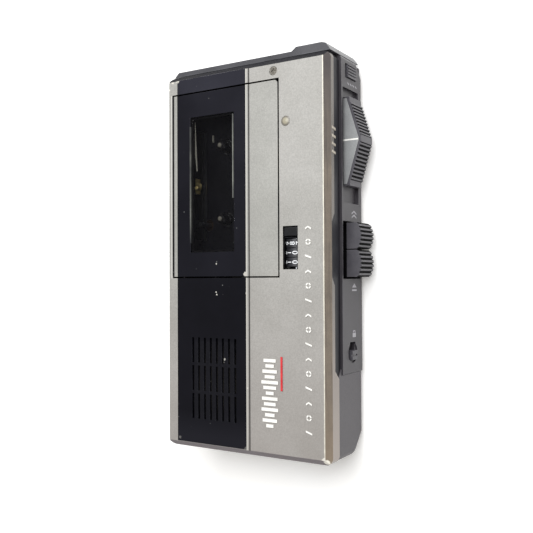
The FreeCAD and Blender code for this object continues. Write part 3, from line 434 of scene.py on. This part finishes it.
def silver_paint(name, shades, worn):
    """Silver-grey metallic paint: flake sparkle drawn coarse enough to show, 0.35 mm.

    The raised bead beside the black plates is rubbed pale, with a painted highlight on it and a painted
    shadow along its foot.
    """
    material = aged(name, shades, 22, 0.35, 0.008, (0.36, 0.5), speckle=0.12, worn=worn,
                    edge_mm=0.3, rub=(0.5, 0.68), fixed={"Metallic": 0.25})
    low_end, low_end_tint = -60.0, 0.4
    bead_highlight, bead_foot_shadow = (1.05, 1.5), (2.1, 2.42)
    tree, _, place = shader_of(material)
    along = add(tree, "ShaderNodeSeparateXYZ", {"Vector": place}).outputs["Y"]
    # darker and warmer towards the lower end
    paint_over(material, remapped(tree, along, 0.0, low_end * MM, 0.0, low_end_tint), "#978d88")
    # a painted highlight on the bead, and a painted shadow along its foot
    lay_line(material, *bead_highlight, "#cbc8c0")
    lay_line(material, *bead_foot_shadow, "#55524f")
    return material


# painted shade: the walls of the gaps, and what lies deep under the face, are near black
gap_wall_shade = aged("abs_gap_wall_painted_shade", ("#141315", "#1e1d20"), 4, 0.3, 0.01, (0.5, 0.65),
                 fixed={"Specular IOR Level": 0.25})


def bare_walls(piece, slot_index, reach_x, reach_y):
    """Give the near-black painted shade to the upright walls, and all that lies deep, within these
    millimetres.
    """
    most_lean, unshaded_depth = 0.3, 0.9
    for polygon in piece.data.polygons:
        middle = polygon.center / MM
        hidden = abs(polygon.normal.z) < most_lean or middle.z < FACE - unshaded_depth
        if hidden and abs(middle.x) < reach_x and abs(middle.y) < reach_y:
            polygon.material_index = slot_index


painted_face = silver_paint("abs_silver_metallic_painted", ("#a5a39e", "#b0aeaa"), "#d8d4c8")
tree = painted_face.node_tree
sides = add(tree, "ShaderNodeSeparateXYZ", {"Vector": ragged_place(painted_face, 0.12, 1.6)})
bevel_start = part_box("front_shell")[1].x / MM - 1.7
polished_edge = mask_product(
    tree,
    remapped(tree, sides.outputs["X"], (bevel_start - 0.42) * MM, (bevel_start - 0.22) * MM),
    remapped(tree, sides.outputs["Z"], (FACE - 0.45) * MM, (FACE - 0.2) * MM),
)
paint_over(painted_face, polished_edge, "#f4efdf")
# beside the door's gap: a painted highlight along the rim, and a painted shadow along the very edge that
# makes the gap look wider
gap_low, gap_high = -6.0, 56.0
gap_rim_highlight, gap_edge_shadow = (-29.05, -28.7), (-28.62, -28.3)
lay_line(painted_face, *gap_rim_highlight, "#dddbd5", gap_low, gap_high)
lay_line(painted_face, *gap_edge_shadow, "#3d3b3d", gap_low + 0.5, gap_high)
face_chips = [
    (28.6, -59.6, 24.9, 1.1), (-28.4, 60.4, 25.0, 0.5), (-26.7, 60.6, 25.0, 0.4),
    (1.5, -59.9, 25.2, 0.35), (1.5, -40.0, 25.2, 0.2), (-29.9, 58.0, 24.6, 0.5),
]
paint_over(painted_face, chip_mask(painted_face, face_chips), "#e6e2d8")

# primer showing through thin paint: warm grey-brown, streaked along the case, and painted darker as shade
# where the bevel faces away from the light
rubbed_shaded_bevel = aged(
    "primer_brown_rubbed_shaded", ("#6a625a", "#827668"), 12, 0.3, 0.01, (0.34, 0.5), speckle=0.1,
    worn="#a2967f", edge_mm=0.3, fixed={"Metallic": 0.15},
)
streak_width, streak_length = 0.5, 18.0
tree, _, place = shader_of(rubbed_shaded_bevel)
streaks = add(tree, "ShaderNodeTexNoise", {
    "Vector": add(tree, "ShaderNodeMapping", {
        "Vector": place,
        "Scale": [1 / (size * MM) for size in (streak_width, streak_length, streak_width)],
    }).outputs["Vector"],
    "Scale": 1.0, "Detail": 3.0,
}).outputs["Fac"]
paint_over(rubbed_shaded_bevel, remapped(tree, streaks, 0.52, 0.72, 0.0, 0.6), "#4d4744")
along = add(tree, "ShaderNodeSeparateXYZ", {"Vector": place}).outputs["Y"]
# darker towards the top end of the case and sandier towards its lower end
top_end, low_end = 62.0, -62.0
paint_over(rubbed_shaded_bevel, remapped(tree, along, top_end * MM, 20.0 * MM, 0.8, 0.0), "#423f43")
paint_over(rubbed_shaded_bevel, remapped(tree, along, -35.0 * MM, low_end * MM, 0.0, 0.5), "#94836f")

# the top bevel's dark grey band: near black with a bluish cast, as painted shade and a painted dark
# reflection where the bevel faces away from the light
top_bevel_shade = aged("top_bevel_painted_shade", ("#0e0e14", "#15151d"), 8, 0.3, 0.008, (0.55, 0.7),
                 worn="#4c4b55", edge_mm=0.3, fixed={"Specular IOR Level": 0.25})
# the strip under the long bevel keeps its silver, painted darker as shade since it faces away from the
# light
shaded_side_silver = silver_paint("abs_silver_painted_shade", ("#65605b", "#78736e"), "#aaa396")
tree, _, place = shader_of(shaded_side_silver)
along = add(tree, "ShaderNodeSeparateXYZ", {"Vector": place}).outputs["Y"]
# paler towards the lower end
paint_over(shaded_side_silver, remapped(tree, along, -10.0 * MM, -55.0 * MM, 0.0, 0.7), "#9f958e")

# paint on the short lower bevel: a darker mauve-grey than the face, scuffed at its edges
scuffed_end = aged("paint_mauve_grey_scuffed", ("#675f64", "#766e71"), 9, 0.3, 0.01, (0.4, 0.55),
                   speckle=0.12, worn="#a8a2a0", edge_mm=0.25)
# one chip at the lower right-hand corner takes in both bevels
corner_chip = (28.9, -60.3, 24.6, 1.1)
for finish in (scuffed_end, rubbed_shaded_bevel):
    paint_over(finish, chip_mask(finish, [corner_chip]), "#ece8dc")

face = softened("front_shell", "case", painted_face, 0.12)
for finish in (rubbed_shaded_bevel, top_bevel_shade, shaded_side_silver, scuffed_end, gap_wall_shade):
    face.data.materials.append(finish)
RUBBED_SHADED_BEVEL, TOP_BEVEL_SHADE, UNDER_BEVEL, LOWER_BEVEL, GAP_SHADE = range(1, 6)
end_y, side_x = 58 * MM, 30 * MM
for polygon in face.data.polygons:
    normal, middle = polygon.normal, polygon.center
    if normal.x > 0.5 and normal.z > 0.5:
        polygon.material_index = RUBBED_SHADED_BEVEL
    elif normal.y > 0.5 and middle.y > end_y:
        polygon.material_index = TOP_BEVEL_SHADE
    elif normal.x > 0.85 and middle.x > side_x:
        polygon.material_index = UNDER_BEVEL
    elif normal.y < -0.4 and normal.z > 0.4 and middle.y < -end_y:
        polygon.material_index = LOWER_BEVEL
# the walls of the gaps get the near-black painted shade
bare_walls(face, GAP_SHADE, 29.5, 58.5)
# dull nickel plate on the one screw in the face, stained in its recess
dull_nickel = aged(
    "steel_nickel_dull", ("#5f5b54", "#8d887f"), 0.8, 0.1, 0.004, (0.35, 0.5), worn="#b8b3a8",
    edge_mm=0.12, rub=(0.3, 0.5), fixed={"Metallic": 0.5},
)
softened("front_screw", "case", dull_nickel, 0.06)

# ---------------------------------------------------------------- groove trim and controls panel
# A black insert lines the groove that runs down the controls side and over the top. The
# panel below it is dark grey ABS, a shade smoother than the back shell.

softened("groove_trim", "case", black_abs, 0.12)
# fine-textured ABS: cooler and smoother than the back shell, polished by the thumb
panel_abs = aged(
    "abs_charcoal_fine", ("#2f2c31", "#383539"), 16, 0.3, 0.015, (0.36, 0.48),
    speckle=0.1, worn="#6a676d", edge_mm=0.2,
)
softened("side_panel", "case", panel_abs, 0.1)

# ---------------------------------------------------------------- top cap
# The separately moulded end with the raised microphone hump, a glossier mid grey that has
# been polished by hands. Two black sockets, for earphone and microphone, sit in it.

# handled ABS: mid grey with a soft shine
cap_abs = aged(
    "abs_mid_grey_polished", ("#424246", "#4e4e52"), 12, 0.4, 0.012, (0.28, 0.42),
    speckle=0.08, worn="#6e6e74", edge_mm=0.5,
)
softened("top_cap", "case", cap_abs, 0.45, 25)
softened("earphone_jack", "case", black_abs, 0.1)
softened("microphone_jack", "case", black_abs, 0.1)

# ---------------------------------------------------------------- black plates and speaker grille
# Thin semi-gloss black plates are glued into the face: a strip above the door and the
# speaker panel below it, whose moulded slits carry dust on their bars.


def black_plate(name, chips, low=("#07070c", "#0c0c13")):
    """Semi-gloss black plate: deep and bluish, hazed by fine wear, with dust and chips."""
    material = aged(name, low, 30, 0.4, 0.004, (0.26, 0.38), worn="#55555c",
                    edge_mm=0.15, rub=(0.5, 0.7), fixed={
                        "Specular IOR Level": 0.25, "Specular Tint": (0.88, 0.88, 1.0, 1.0),
                    })
    mote_spacing, mote_rim, mote_core = 2.6, 0.085, 0.05
    tree, _, place = shader_of(material)
    motes = add(tree, "ShaderNodeTexVoronoi", {
        "Vector": place, "Scale": 1 / (mote_spacing * MM),
    })
    chosen = add(tree, "ShaderNodeSeparateXYZ", {"Vector": motes.outputs["Color"]}).outputs["X"]
    dust = mask_product(
        tree,
        remapped(tree, motes.outputs["Distance"], mote_rim, mote_core),
        remapped(tree, chosen, 0.8, 0.84, 0.0, 0.55),  # about one mote in five shows
    )
    paint_over(material, dust, "#8f8f8d")
    paint_over(material, chip_mask(material, chips, 0.3, 0.5), "#bdbab2")
    return material


strip_chips = [(-26.3, 60.4, 24.9, 0.55)]
softened("top_strip", "case", black_plate(
    "plate_black_strip", strip_chips, ("#212128", "#2a2a32")
), 0.1)
speaker_chips = [
    (-25.6, -58.3, 24.9, 0.5), (0.7, -59.2, 24.9, 0.7), (1.0, -10.4, 24.9, 0.3),
    (-10.7, -10.1, 24.9, 0.25), (-10.4, -10.9, 24.9, 0.28), (-7.4, -31.6, 24.9, 0.4),
    (-7.8, -32.5, 24.9, 0.25), (1.05, -17.0, 24.9, 0.22), (1.05, -25.0, 24.9, 0.28),
]
speaker_plate = black_plate("plate_black_speaker", speaker_chips)
tree, _, place = shader_of(speaker_plate)
spread = add(tree, "ShaderNodeSeparateXYZ", {"Vector": place})
grit_size = 0.45
grit = add(tree, "ShaderNodeTexNoise", {
    "Vector": place, "Scale": 1 / (grit_size * MM), "Detail": 3.0,
}).outputs["Fac"]
grille_left, grille_right, grille_low, grille_high = -20.0, -3.4, -51.8, -25.6
bar_dust = mask_product(
    tree,
    remapped(tree, spread.outputs["X"], (grille_left + 0.2) * MM, (grille_left + 0.9) * MM),
    remapped(tree, spread.outputs["X"], grille_right * MM, (grille_right - 0.5) * MM),
    remapped(tree, spread.outputs["Y"], grille_low * MM, (grille_low + 0.8) * MM),
    remapped(tree, spread.outputs["Y"], grille_high * MM, (grille_high - 0.8) * MM),
    remapped(tree, grit, 0.3, 0.65, 0.1, 0.7),
)
paint_over(speaker_plate, bar_dust, "#18181c")
# paler towards the lower end: a painted sheen
paint_over(speaker_plate, remapped(
    tree, spread.outputs["Y"], -49.0 * MM, -57.0 * MM, 0.0, 0.8
), "#1b1b21")
softened("speaker_panel", "case", speaker_plate, 0.08)

# ---------------------------------------------------------------- tape door
# A silver-painted frame with a black plate on its face and a smoked window in the plate.
# It turns on two short pins at its lower end, and a holder behind it takes the cassette.

# the face's silver paint, a touch duller, with a painted shadow along the door's left-hand rim that
# widens its gap
door_paint = silver_paint("abs_silver_door_painted", ("#a09f9a", "#acaba6"), "#d5d1c5")
door_gap_shadow = (-28.2, -27.76)
lay_line(door_paint, *door_gap_shadow, "#3d3b3d")
door_face = softened("door_frame", "door", door_paint, 0.12)
# the door frame's walls and deep parts get the near-black painted shade
door_face.data.materials.append(gap_wall_shade)
DOOR_GAP_SHADE = 1
bare_walls(door_face, DOOR_GAP_SHADE, 40, 70)
softened("cassette_holder", "door", black_abs, 0.15)
door_chips = [(0.7, -4.4, 24.9, 0.75), (-10.6, -0.9, 24.9, 0.25), (1.1, 31.0, 24.9, 0.3)]
softened("door_plate", "door", black_plate(
    "plate_black_door", door_chips, ("#0d0d13", "#15151c")
), 0.1)

# smoked polycarbonate: clear but dark, glossy, with fine haze from wiping
wipe_width, wipe_length, wipe_slant = 0.4, 7.0, 0.5
smoked, tree, shader, place = new_finish("polycarbonate_smoked")
haze = add(tree, "ShaderNodeTexNoise", {
    "Vector": add(tree, "ShaderNodeMapping", {
        "Vector": place, "Rotation": (0, 0, wipe_slant),
        "Scale": (1 / (wipe_width * MM), 1 / (wipe_length * MM), 1 / MM),
    }).outputs["Vector"],
    "Scale": 1.0, "Detail": 4.0,
}).outputs["Fac"]
tree.links.new(add(tree, "ShaderNodeMixRGB", {
    "Fac": remapped(tree, haze, 0.45, 0.8), "Color1": linear("#050508"),
    "Color2": linear("#121216"),
}).outputs["Color"], shader.inputs["Base Color"])
tree.links.new(remapped(tree, haze, 0.4, 0.75, 0.07, 0.22), shader.inputs["Roughness"])
tree.links.new(add(tree, "ShaderNodeBump", {
    "Height": haze, "Distance": 0.004 * MM,
}).outputs["Normal"], shader.inputs["Normal"])
shader.inputs["Alpha"].default_value = 0.36
shader.inputs["Specular IOR Level"].default_value = 0.2
shader.inputs["IOR"].default_value = 1.58
softened("door_window", "door", smoked, 0.1)


def extruded(outline, axis, low, high, bevel=0.0):
    """A closed prism in millimetres: an outline in the plane across an axis, pushed along it."""
    turned = {"x": lambda a, b, h: (h, a, b), "y": lambda a, b, h: (a, h, b),
              "z": lambda a, b, h: (a, b, h)}[axis]
    shape = bmesh.new()
    ring = [shape.verts.new(Vector(turned(a, b, low)) * MM) for a, b in outline]
    bottom = shape.faces.new(ring)
    grown = bmesh.ops.extrude_face_region(shape, geom=[bottom])["geom"]
    rise = Vector(turned(0, 0, high - low)) * MM
    lifted = [item for item in grown if isinstance(item, bmesh.types.BMVert)]
    bmesh.ops.translate(shape, verts=lifted, vec=rise)
    bmesh.ops.recalc_face_normals(shape, faces=shape.faces)
    if bevel:
        rims = [
            edge for edge in shape.edges
            if sum(abs(side.normal["xyz".index(axis)]) > 0.9 for side in edge.link_faces) == 1
        ]
        bmesh.ops.bevel(shape, geom=rims, offset=bevel * MM, segments=2, profile=0.5,
                        affect="EDGES", clamp_overlap=True)
    mesh = bpy.data.meshes.new("prism")
    shape.to_mesh(mesh)
    shape.free()
    return mesh


def merged(meshes):
    """Several closed meshes as one."""
    shape = bmesh.new()
    for mesh in meshes:
        shape.from_mesh(mesh)
        bpy.data.meshes.remove(mesh)
    whole = bpy.data.meshes.new("merged")
    shape.to_mesh(whole)
    shape.free()
    return whole


def rectangle(left, right, low, high):
    """The four corners of a rectangle."""
    return [(left, low), (right, low), (right, high), (left, high)]


def disc(across, up, radius, sides=16):
    """The corners of a small round outline."""
    turns = [math.tau * i / sides for i in range(sides)]
    return [(across + radius * math.cos(t), up + radius * math.sin(t)) for t in turns]


# painted highlight: pale strips along the window's cut edges stand in for the light they catch
pane_edge_highlight = aged(
    "polycarbonate_edge_painted_highlight", ("#3c3d40", "#84857f"), 9, 0.3, 0.004, (0.15, 0.3),
)
window_low, window_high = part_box("door_window")[0] / MM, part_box("door_window")[1] / MM
lip, lip_root = 0.32, 24.3
placed("window_edge_highlights", merged([
    extruded(rectangle(window_high.x - lip, window_high.x, 20.0, 46.9), "z", lip_root,
             FACE - 0.02),
    extruded(rectangle(window_low.x, window_low.x + 0.6 * lip, 6.0, 44.5), "z", lip_root,
             FACE - 0.04),
]), "door", pane_edge_highlight)

# The holder's tapered leaf keeps the cassette down. Its rivet is in the head's yellowish metal, and a
# locating rib stands in the well.
# All three are painted pale as glints, so that they show through the dark window.
# spring steel painted pale as a glint, with a broad soft shine
pale_glint_steel = aged("spring_steel_painted_glint", ("#c4c1b2", "#e4e1d4"), 3, 0.2, 0.004, (0.35, 0.5),
                   fixed={"Metallic": 0.2})
leaf_outline = [(-21.6, 46.4), (-20.4, 46.4), (-19.5, 30.0), (-19.9, 30.0)]
placed("holder_leaf", extruded(leaf_outline, "z", 22.92, 23.05, 0.02), "door",
       pale_glint_steel)
placed("holder_rivet", extruded(disc(-19.9, 24.5, 0.65), "z", 22.85, 23.2, 0.18), "door",
       lapped_gold_glint)
rib_outline = rectangle(-18.1, -17.7, 40.4, 42.8)
placed("well_locating_rib", extruded(rib_outline, "z", 15.95, 16.6, 0.05), "case",
       pale_glint_steel)

# ---------------------------------------------------------------- printed marks on the face
# White ink, pad-printed straight onto the silver paint: a plain sound-wave mark with one
# red bar beside it, and a row of small bars, broken rings and chevrons to its right.

# pad-printed ink: chalky, thin at its rims
white_ink = aged("ink_white_pad_printed", ("#e6e4de", "#f8f6f1"), 2, 0.15, 0.002, (0.5, 0.65))
red_ink = aged("ink_red_pad_printed", ("#c62a30", "#d93a3e"), 2, 0.15, 0.002, (0.45, 0.6))
INK, BITE = 0.02, 0.01  # how far ink stands proud of the paint, and how far it bites in


def printed(outline):
    """A shape printed on the face."""
    return extruded(outline, "z", FACE - BITE, FACE + INK)


wave_low, wave_high, wave_middle = -51.6, -29.9, 9.7
wave = (2.6, 5.2, 3.4, 6.0, 4.2, 5.6, 2.8, 4.6, 6.0, 3.6, 5.2, 3.0, 4.4)
step = (wave_high - wave_low) / len(wave)
bar = 0.62 * step
placed("wave_mark", merged([
    printed(rectangle(wave_middle - tall / 2, wave_middle + tall / 2,
                      wave_low + step * i, wave_low + step * i + bar))
    for i, tall in enumerate(wave)
]), "case", white_ink)
red_bar = rectangle(13.6, 14.3, -40.1, -29.7)
placed("red_bar_mark", printed(red_bar), "case", red_ink)
mark_count, first_y, last_y = 15, -51.8, 9.5
mark_left, mark_middle, mark_right = 22.4, 23.4, 24.4
ring_outer, ring_inner, ring_parts = 0.95, 0.5, 4
marks = []
for i in range(mark_count):
    y = first_y + i * (last_y - first_y) / (mark_count - 1)
    if i % 3 == 0:
        marks.append(printed([
            (mark_right + 0.1, y - 0.65), (mark_right + 0.1, y - 0.1),
            (mark_left - 0.1, y + 0.65), (mark_left - 0.1, y + 0.1),
        ]))
    elif i % 3 == 1:
        for turn in range(ring_parts):
            near, far = (math.tau * (turn + share) / ring_parts for share in (0.1, 0.9))
            out_and_back = [(ring_outer, way) for way in (near, (near + far) / 2, far)]
            out_and_back += [(ring_inner, way) for way in (far, (near + far) / 2, near)]
            marks.append(printed([
                (mark_middle + reach * math.cos(way), y + reach * math.sin(way))
                for reach, way in out_and_back
            ]))
    else:
        point = mark_middle - 0.1
        marks.append(printed([
            (mark_right, y - 0.7), (mark_right, y - 0.15), (point, y + 0.45),
            (mark_left, y - 0.15), (mark_left, y - 0.7), (point, y - 0.05),
        ]))
placed("dash_marks", merged(marks), "case", white_ink)

# ---------------------------------------------------------------- speed ticks on the bevel
# Four short slanted ribs moulded where the rubbed bevel meets the groove, opposite the
# thumb switch, whose paint has gone.

tick_count, first_y, pitch, width, slant = 4, 31.3, 2.38, 0.75, 0.4
tick_low, tick_high = 20.6, 22.9
ticks = []
for i in range(tick_count):
    y = first_y + pitch * i
    ticks.append(extruded([
        (y, tick_low), (y + width, tick_low), (y + width + slant, tick_high),
        (y + slant, tick_high),
    ], "x", 30.1, 30.5, 0.06))
# rubbed primer: pale and warm beside the darker bevel
pale_primer = aged("primer_pale_rubbed", ("#9d968b", "#b5ad9f"), 1.5, 0.2, 0.006, (0.35, 0.5))
placed("speed_ticks", merged(ticks), "case", pale_primer)

# ---------------------------------------------------------------- recording lamp
# A small milky lens over the lamp that lights while it records. It is moulded in acrylic
# and pressed into the face from behind.

# milky acrylic: cream over the lamp, with the ring round it painted greyer as shade
milky_acrylic = aged(
    "acrylic_milky", ("#78736a", "#88837a"), 0.9, 0.2, 0.003, (0.25, 0.35),
)
lens_low, lens_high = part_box("led_lens")[0] / MM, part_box("led_lens")[1] / MM
lens_middle = (lens_low + lens_high) / 2
cream_radius = (lens_high.x - lens_low.x) * 0.34
cream_spot = (lens_middle.x + 0.1, lens_middle.y, lens_high.z, cream_radius)
paint_over(milky_acrylic, chip_mask(milky_acrylic, [cream_spot], 0.05, 0.5), "#a39d8a")
softened("led_lens", "case", milky_acrylic, 0.08)

# ---------------------------------------------------------------- tape counter
# Three black drums with white digits turn on a steel shaft in a black frame, with a
# push button beside them that sets them to nothing.

softened("counter_frame", "case", black_abs, 0.08)
# moulded button: near black, dulled by dust, greyer at its rim
button_abs = aged(
    "abs_charcoal_button", ("#0b0b0e", "#141418"), 2, 0.2, 0.008, (0.45, 0.6), worn="#3a393d",
    fixed={"Specular IOR Level": 0.3},
)
softened("counter_reset_button", "counter_reset", button_abs, 0.25)
# moulded drum: satin black
drum_abs = aged("abs_black_drum", ("#1a1a1e", "#26262b"), 2, 0.2, 0.006, (0.35, 0.5),
                worn="#55555c", edge_mm=0.15)
# hot-stamped foil digits: flat and very white
stamped_white = aged("foil_white_stamped", ("#e4e6e8", "#fafbfc"), 1, 0.1, 0.002, (0.4, 0.55))
DIGIT_HEIGHT = 1.65
FONT_SHARE = 0.7  # a digit's height as a share of the font's size
DIGIT_STEP = 36  # degrees from one digit to the next
SLICES = 8  # a digit is cut into this many bands, so that it can bend round the drum


def drum_digits(name, body, drum, turned_deg):
    """Ten digits wrapped round a drum, read along +Y with their tops towards -X."""
    low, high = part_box(drum)
    centre, radius = (low + high) / 2, (high.z - low.z) / 2
    ring = bmesh.new()
    for value in range(10):
        text = bpy.data.curves.new("digit", "FONT")
        text.body = str(value)
        text.size = DIGIT_HEIGHT / FONT_SHARE * MM
        text.align_x = "CENTER"
        text.extrude = 0.02 * MM
        holder = bpy.data.objects.new("digit", text)
        scene.collection.objects.link(holder)
        bpy.context.view_layer.update()
        flat = bpy.data.meshes.new_from_object(
            holder.evaluated_get(bpy.context.evaluated_depsgraph_get()))
        bpy.data.objects.remove(holder)
        glyph = bmesh.new()
        glyph.from_mesh(flat)
        bmesh.ops.remove_doubles(glyph, verts=glyph.verts, dist=1e-7)
        for cut in range(1, SLICES):
            bmesh.ops.bisect_plane(
                glyph, geom=glyph.verts[:] + glyph.edges[:] + glyph.faces[:],
                plane_co=(0, DIGIT_HEIGHT * MM * cut / SLICES, 0), plane_no=(0, 1, 0))
        for vert in glyph.verts:
            across, up, out = vert.co
            turn = (up - DIGIT_HEIGHT * MM / 2) / radius
            turn += math.radians(DIGIT_STEP * value + turned_deg)
            reach = radius + out
            vert.co = (centre.x - reach * math.sin(turn), centre.y + across,
                       centre.z + reach * math.cos(turn))
        glyph.to_mesh(flat)
        glyph.free()
        ring.from_mesh(flat)
        bpy.data.meshes.remove(flat)
        bpy.data.curves.remove(text)
    mesh = bpy.data.meshes.new(name)
    ring.to_mesh(mesh)
    ring.free()
    placed(name, mesh, body, stamped_white)


for unit, shown_deg in (("units", -4 - 8 * DIGIT_STEP), ("tens", -20), ("hundreds", -20)):
    softened(f"counter_wheel_{unit}", f"counter_{unit}", drum_abs, 0.12)
    drum_digits(f"counter_digits_{unit}", f"counter_{unit}", f"counter_wheel_{unit}", shown_deg)

# ---------------------------------------------------------------- thumb switch
# A peaked slider moulded in charcoal plastic, ribbed across both slopes for the thumb,
# with a pale plate let into its front face and a white line that points at the ticks.


# one rib: shares of its pitch, and how much of its depth the edge is sunk there
RIB_PROFILE = ((0.0, 1.0), (0.14, 0.55), (0.3, 0.0), (0.7, 0.0), (0.86, 0.55))


def ribs(start, end, count, depth, bulge=0.0):
    """Points of a ribbed edge between two points, its crests on the line or bowed out."""
    along = Vector(end) - Vector(start)
    out = Vector((along.y, -along.x)).normalized()
    points = []
    for i in range(count):
        for phase, sink in RIB_PROFILE:
            t = (i + phase) / count
            bow = bulge * 4 * t * (1 - t)
            points.append(tuple(Vector(start) + along * t + out * (bow - sink * depth)))
    points.append(tuple(Vector(end) - out * depth))
    return points


# glass-filled nylon: charcoal, crests polished paler by the thumb
ribbed_nylon = aged(
    "nylon_charcoal_ribbed", ("#3b393f", "#49474c"), 5, 0.25, 0.012, (0.36, 0.5),
    speckle=0.08, worn="#5c5960", edge_mm=0.2, rub=(0.35, 0.6),
)
# painted shade: the same nylon, painted near black down in the grooves and on the flanks of the ribs
shade_nylon = aged(
    "nylon_painted_shade", ("#08080a", "#121114"), 3, 0.25, 0.015, (0.6, 0.8),
    fixed={"Specular IOR Level": 0.15},
)


SHADE_SLOT = 1  # the painted shade's place among a ribbed piece's materials


def grime(piece, least, most):
    """Give the flanks of a piece's ribs the near-black painted shade, told by how far they face +X."""
    piece.data.materials.append(shade_nylon)
    for polygon in piece.data.polygons:
        if least < polygon.normal.x < most and abs(polygon.normal.z) < 0.3:
            polygon.material_index = SHADE_SLOT


switch_low, switch_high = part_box("main_switch")[0] / MM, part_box("main_switch")[1] / MM
foot, end_x, peak_x = 29.3, 31.6, switch_high.x
peak_low, peak_high, plain = 35.9, 38.0, 1.6
rib_count, rib_depth = 10, 0.4
rise_low = (peak_x - end_x) / (peak_low - switch_low.y)
rise_high = (peak_x - end_x) / (switch_high.y - peak_high)
outline = [
    (foot, switch_low.y), (end_x, switch_low.y),
    *ribs((end_x + rise_low * plain, switch_low.y + plain), (peak_x, peak_low),
          rib_count, rib_depth),
    (peak_x, peak_low), (peak_x, peak_high),
    *ribs((peak_x, peak_high), (end_x + rise_high * plain, switch_high.y - plain),
          rib_count, rib_depth),
    (end_x, switch_high.y), (foot, switch_high.y),
]
tongue = rectangle(switch_low.x, foot + 0.2, 29, 40)  # it runs in the panel's track
grime(placed("main_switch_ribbed", merged([
    extruded(outline, "z", switch_low.z, switch_high.z - 0.15, 0.1),
    extruded(tongue, "z", 7.8, 11.2),
]), "main_switch", ribbed_nylon, ["main_switch"]), 0.2, 0.9)
# satin anodised look of the sprayed inlay: pale cool grey
inlay = aged(
    "inlay_pale_grey_sprayed", ("#838485", "#8f9090"), 6, 0.25, 0.008, (0.4, 0.55),
    speckle=0.08, worn="#c9c9c6", edge_mm=0.2,
)
rim, line_low, line_high = 0.5, 36.55, 37.0
inlay_foot, inlay_end, inlay_peak = foot + 0.15, end_x - rim - 0.5, peak_x - rim - 0.35
peak_y = (peak_low + peak_high) / 2
placed("main_switch_inlay", extruded([
    (inlay_foot, switch_low.y + rim), (inlay_end, switch_low.y + rim),
    (inlay_peak, peak_y - 0.5), (inlay_peak, peak_y + 0.3),
    (inlay_end, switch_high.y - rim), (inlay_foot, switch_high.y - rim),
], "z", switch_high.z - 0.3, switch_high.z - 0.03, 0.06), "main_switch", inlay)
white_line = rectangle(foot + 0.2, peak_x - rim - 0.4, line_low, line_high)
placed("main_switch_line", extruded(white_line, "z", switch_high.z - 0.1, switch_high.z),
       "main_switch", white_ink)

# ---------------------------------------------------------------- push buttons
# Fast-wind and eject: two charcoal blocks with bowed, ribbed thumb faces, each on a
# stem and a spring behind the panel.

BOW, ROOT_X = 1.15, 30.1  # how far a thumb face bows out, and where the block comes out
STEM_RADIUS, STEM_HEIGHT = 0.9, 8.2
RIB_COUNT, RIB_DEPTH = 6, 0.55
CORNER = 0.35
for button in ("fast_button", "eject_button"):
    low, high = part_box(button)[0] / MM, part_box(button)[1] / MM
    edge_x = high.x - BOW
    outline = [
        (ROOT_X, low.y), (edge_x - CORNER, low.y),
        *ribs((edge_x, low.y + 0.15), (edge_x, high.y - 0.15), RIB_COUNT, RIB_DEPTH, BOW),
        (edge_x - CORNER, high.y), (ROOT_X, high.y),
    ]
    root = rectangle(27.2, ROOT_X + 0.3, low.y, high.y)
    stem = disc((low.y + high.y) / 2, STEM_HEIGHT, STEM_RADIUS)
    block = placed(f"{button}_ribbed", merged([
        extruded(outline, "z", low.z, high.z, 0.12),
        extruded(root, "z", low.z + 0.2, 9.4),
        extruded(stem, "x", low.x, 27.4),
    ]), button, ribbed_nylon, [button])
    grime(block, 0.05, 0.8)
    for polygon in block.data.polygons:
        if polygon.center.x < ROOT_X * MM:
            polygon.material_index = SHADE_SLOT  # the root stays in the slot, painted near black as shade
    # its coil spring gets the nickel-plated finish, on a mesh of its own
    coil = button.replace("button", "spring")
    spring = softened(coil, "case", nickel_steel, 0.05)
    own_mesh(spring)

# ---------------------------------------------------------------- lock slide, tone slide and volume wheel
# Small charcoal sliders in the side panel, and the knurled rim of the volume wheel that
# stands out of the far side.

softened("lock_slide", "lock_slide", ribbed_nylon, 0.1)
softened("tone_slide", "tone_slide", ribbed_nylon, 0.08)
low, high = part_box("volume_wheel")[0] / MM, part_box("volume_wheel")[1] / MM
centre, radius = (low + high) / 2, (high.x - low.x) / 2
knurls, knurl_profile = 60, (0.0, 0.0, 0.28, 0.28)  # how deep the rim lies round one knurl
points = knurls * len(knurl_profile)
rim_points = []
for i in range(points):
    turn = math.tau * i / points
    reach = radius - knurl_profile[i % len(knurl_profile)]
    rim_points.append((centre.x + reach * math.cos(turn), centre.y + reach * math.sin(turn)))
placed("volume_wheel_knurled", extruded(rim_points, "z", low.z, high.z, 0.1), "volume_wheel",
       ribbed_nylon, ["volume_wheel"])

# ---------------------------------------------------------------- printed marks on the panel
# Plain grey symbols beside the controls: chevrons at the fast-wind button, a triangle
# over a bar at the eject button, a padlock outline at the lock slide, ticks at the top slide.

SIDE = 30.35  # where the panel's outer face lies
symbol_low, symbol_high = 6.4, 9.6
symbols = [
    [(start, 6.2), (start + 0.5, 6.2), (start + 1.3, 7.9), (start + 0.5, symbol_high),
     (start, symbol_high), (start + 0.8, 7.9)]
    for start in (12.9, 14.1)
]
symbols.append([(-8.7, symbol_low), (-8.7, symbol_high), (-7.4, 8.0)])
symbols.append(rectangle(-9.8, -9.3, symbol_low, symbol_high))
symbols.append(rectangle(-24.2, -22.9, 7.2, 9.4))
symbols.append([(-22.9, 7.5), (-22.1, 7.5), (-22.1, 9.1), (-22.9, 9.1), (-22.9, 8.8),
                (-22.4, 8.8), (-22.4, 7.8), (-22.9, 7.8)])
symbols += [
    [(54.2, start), (54.6, start), (55.0, start + 1.0), (54.6, start + 1.0)]
    for start in (5.6, 7.4, 9.2, 11.0)
]
# pad-printed ink, worn thin: a grey that the dark panel shows through
grey_ink = aged("ink_grey_pad_printed", ("#8f8d93", "#a9a7ac"), 2, 0.15, 0.002, (0.5, 0.65))
placed("panel_marks", merged([
    extruded(symbol, "x", SIDE - BITE, SIDE + INK) for symbol in symbols
]), "case", grey_ink)
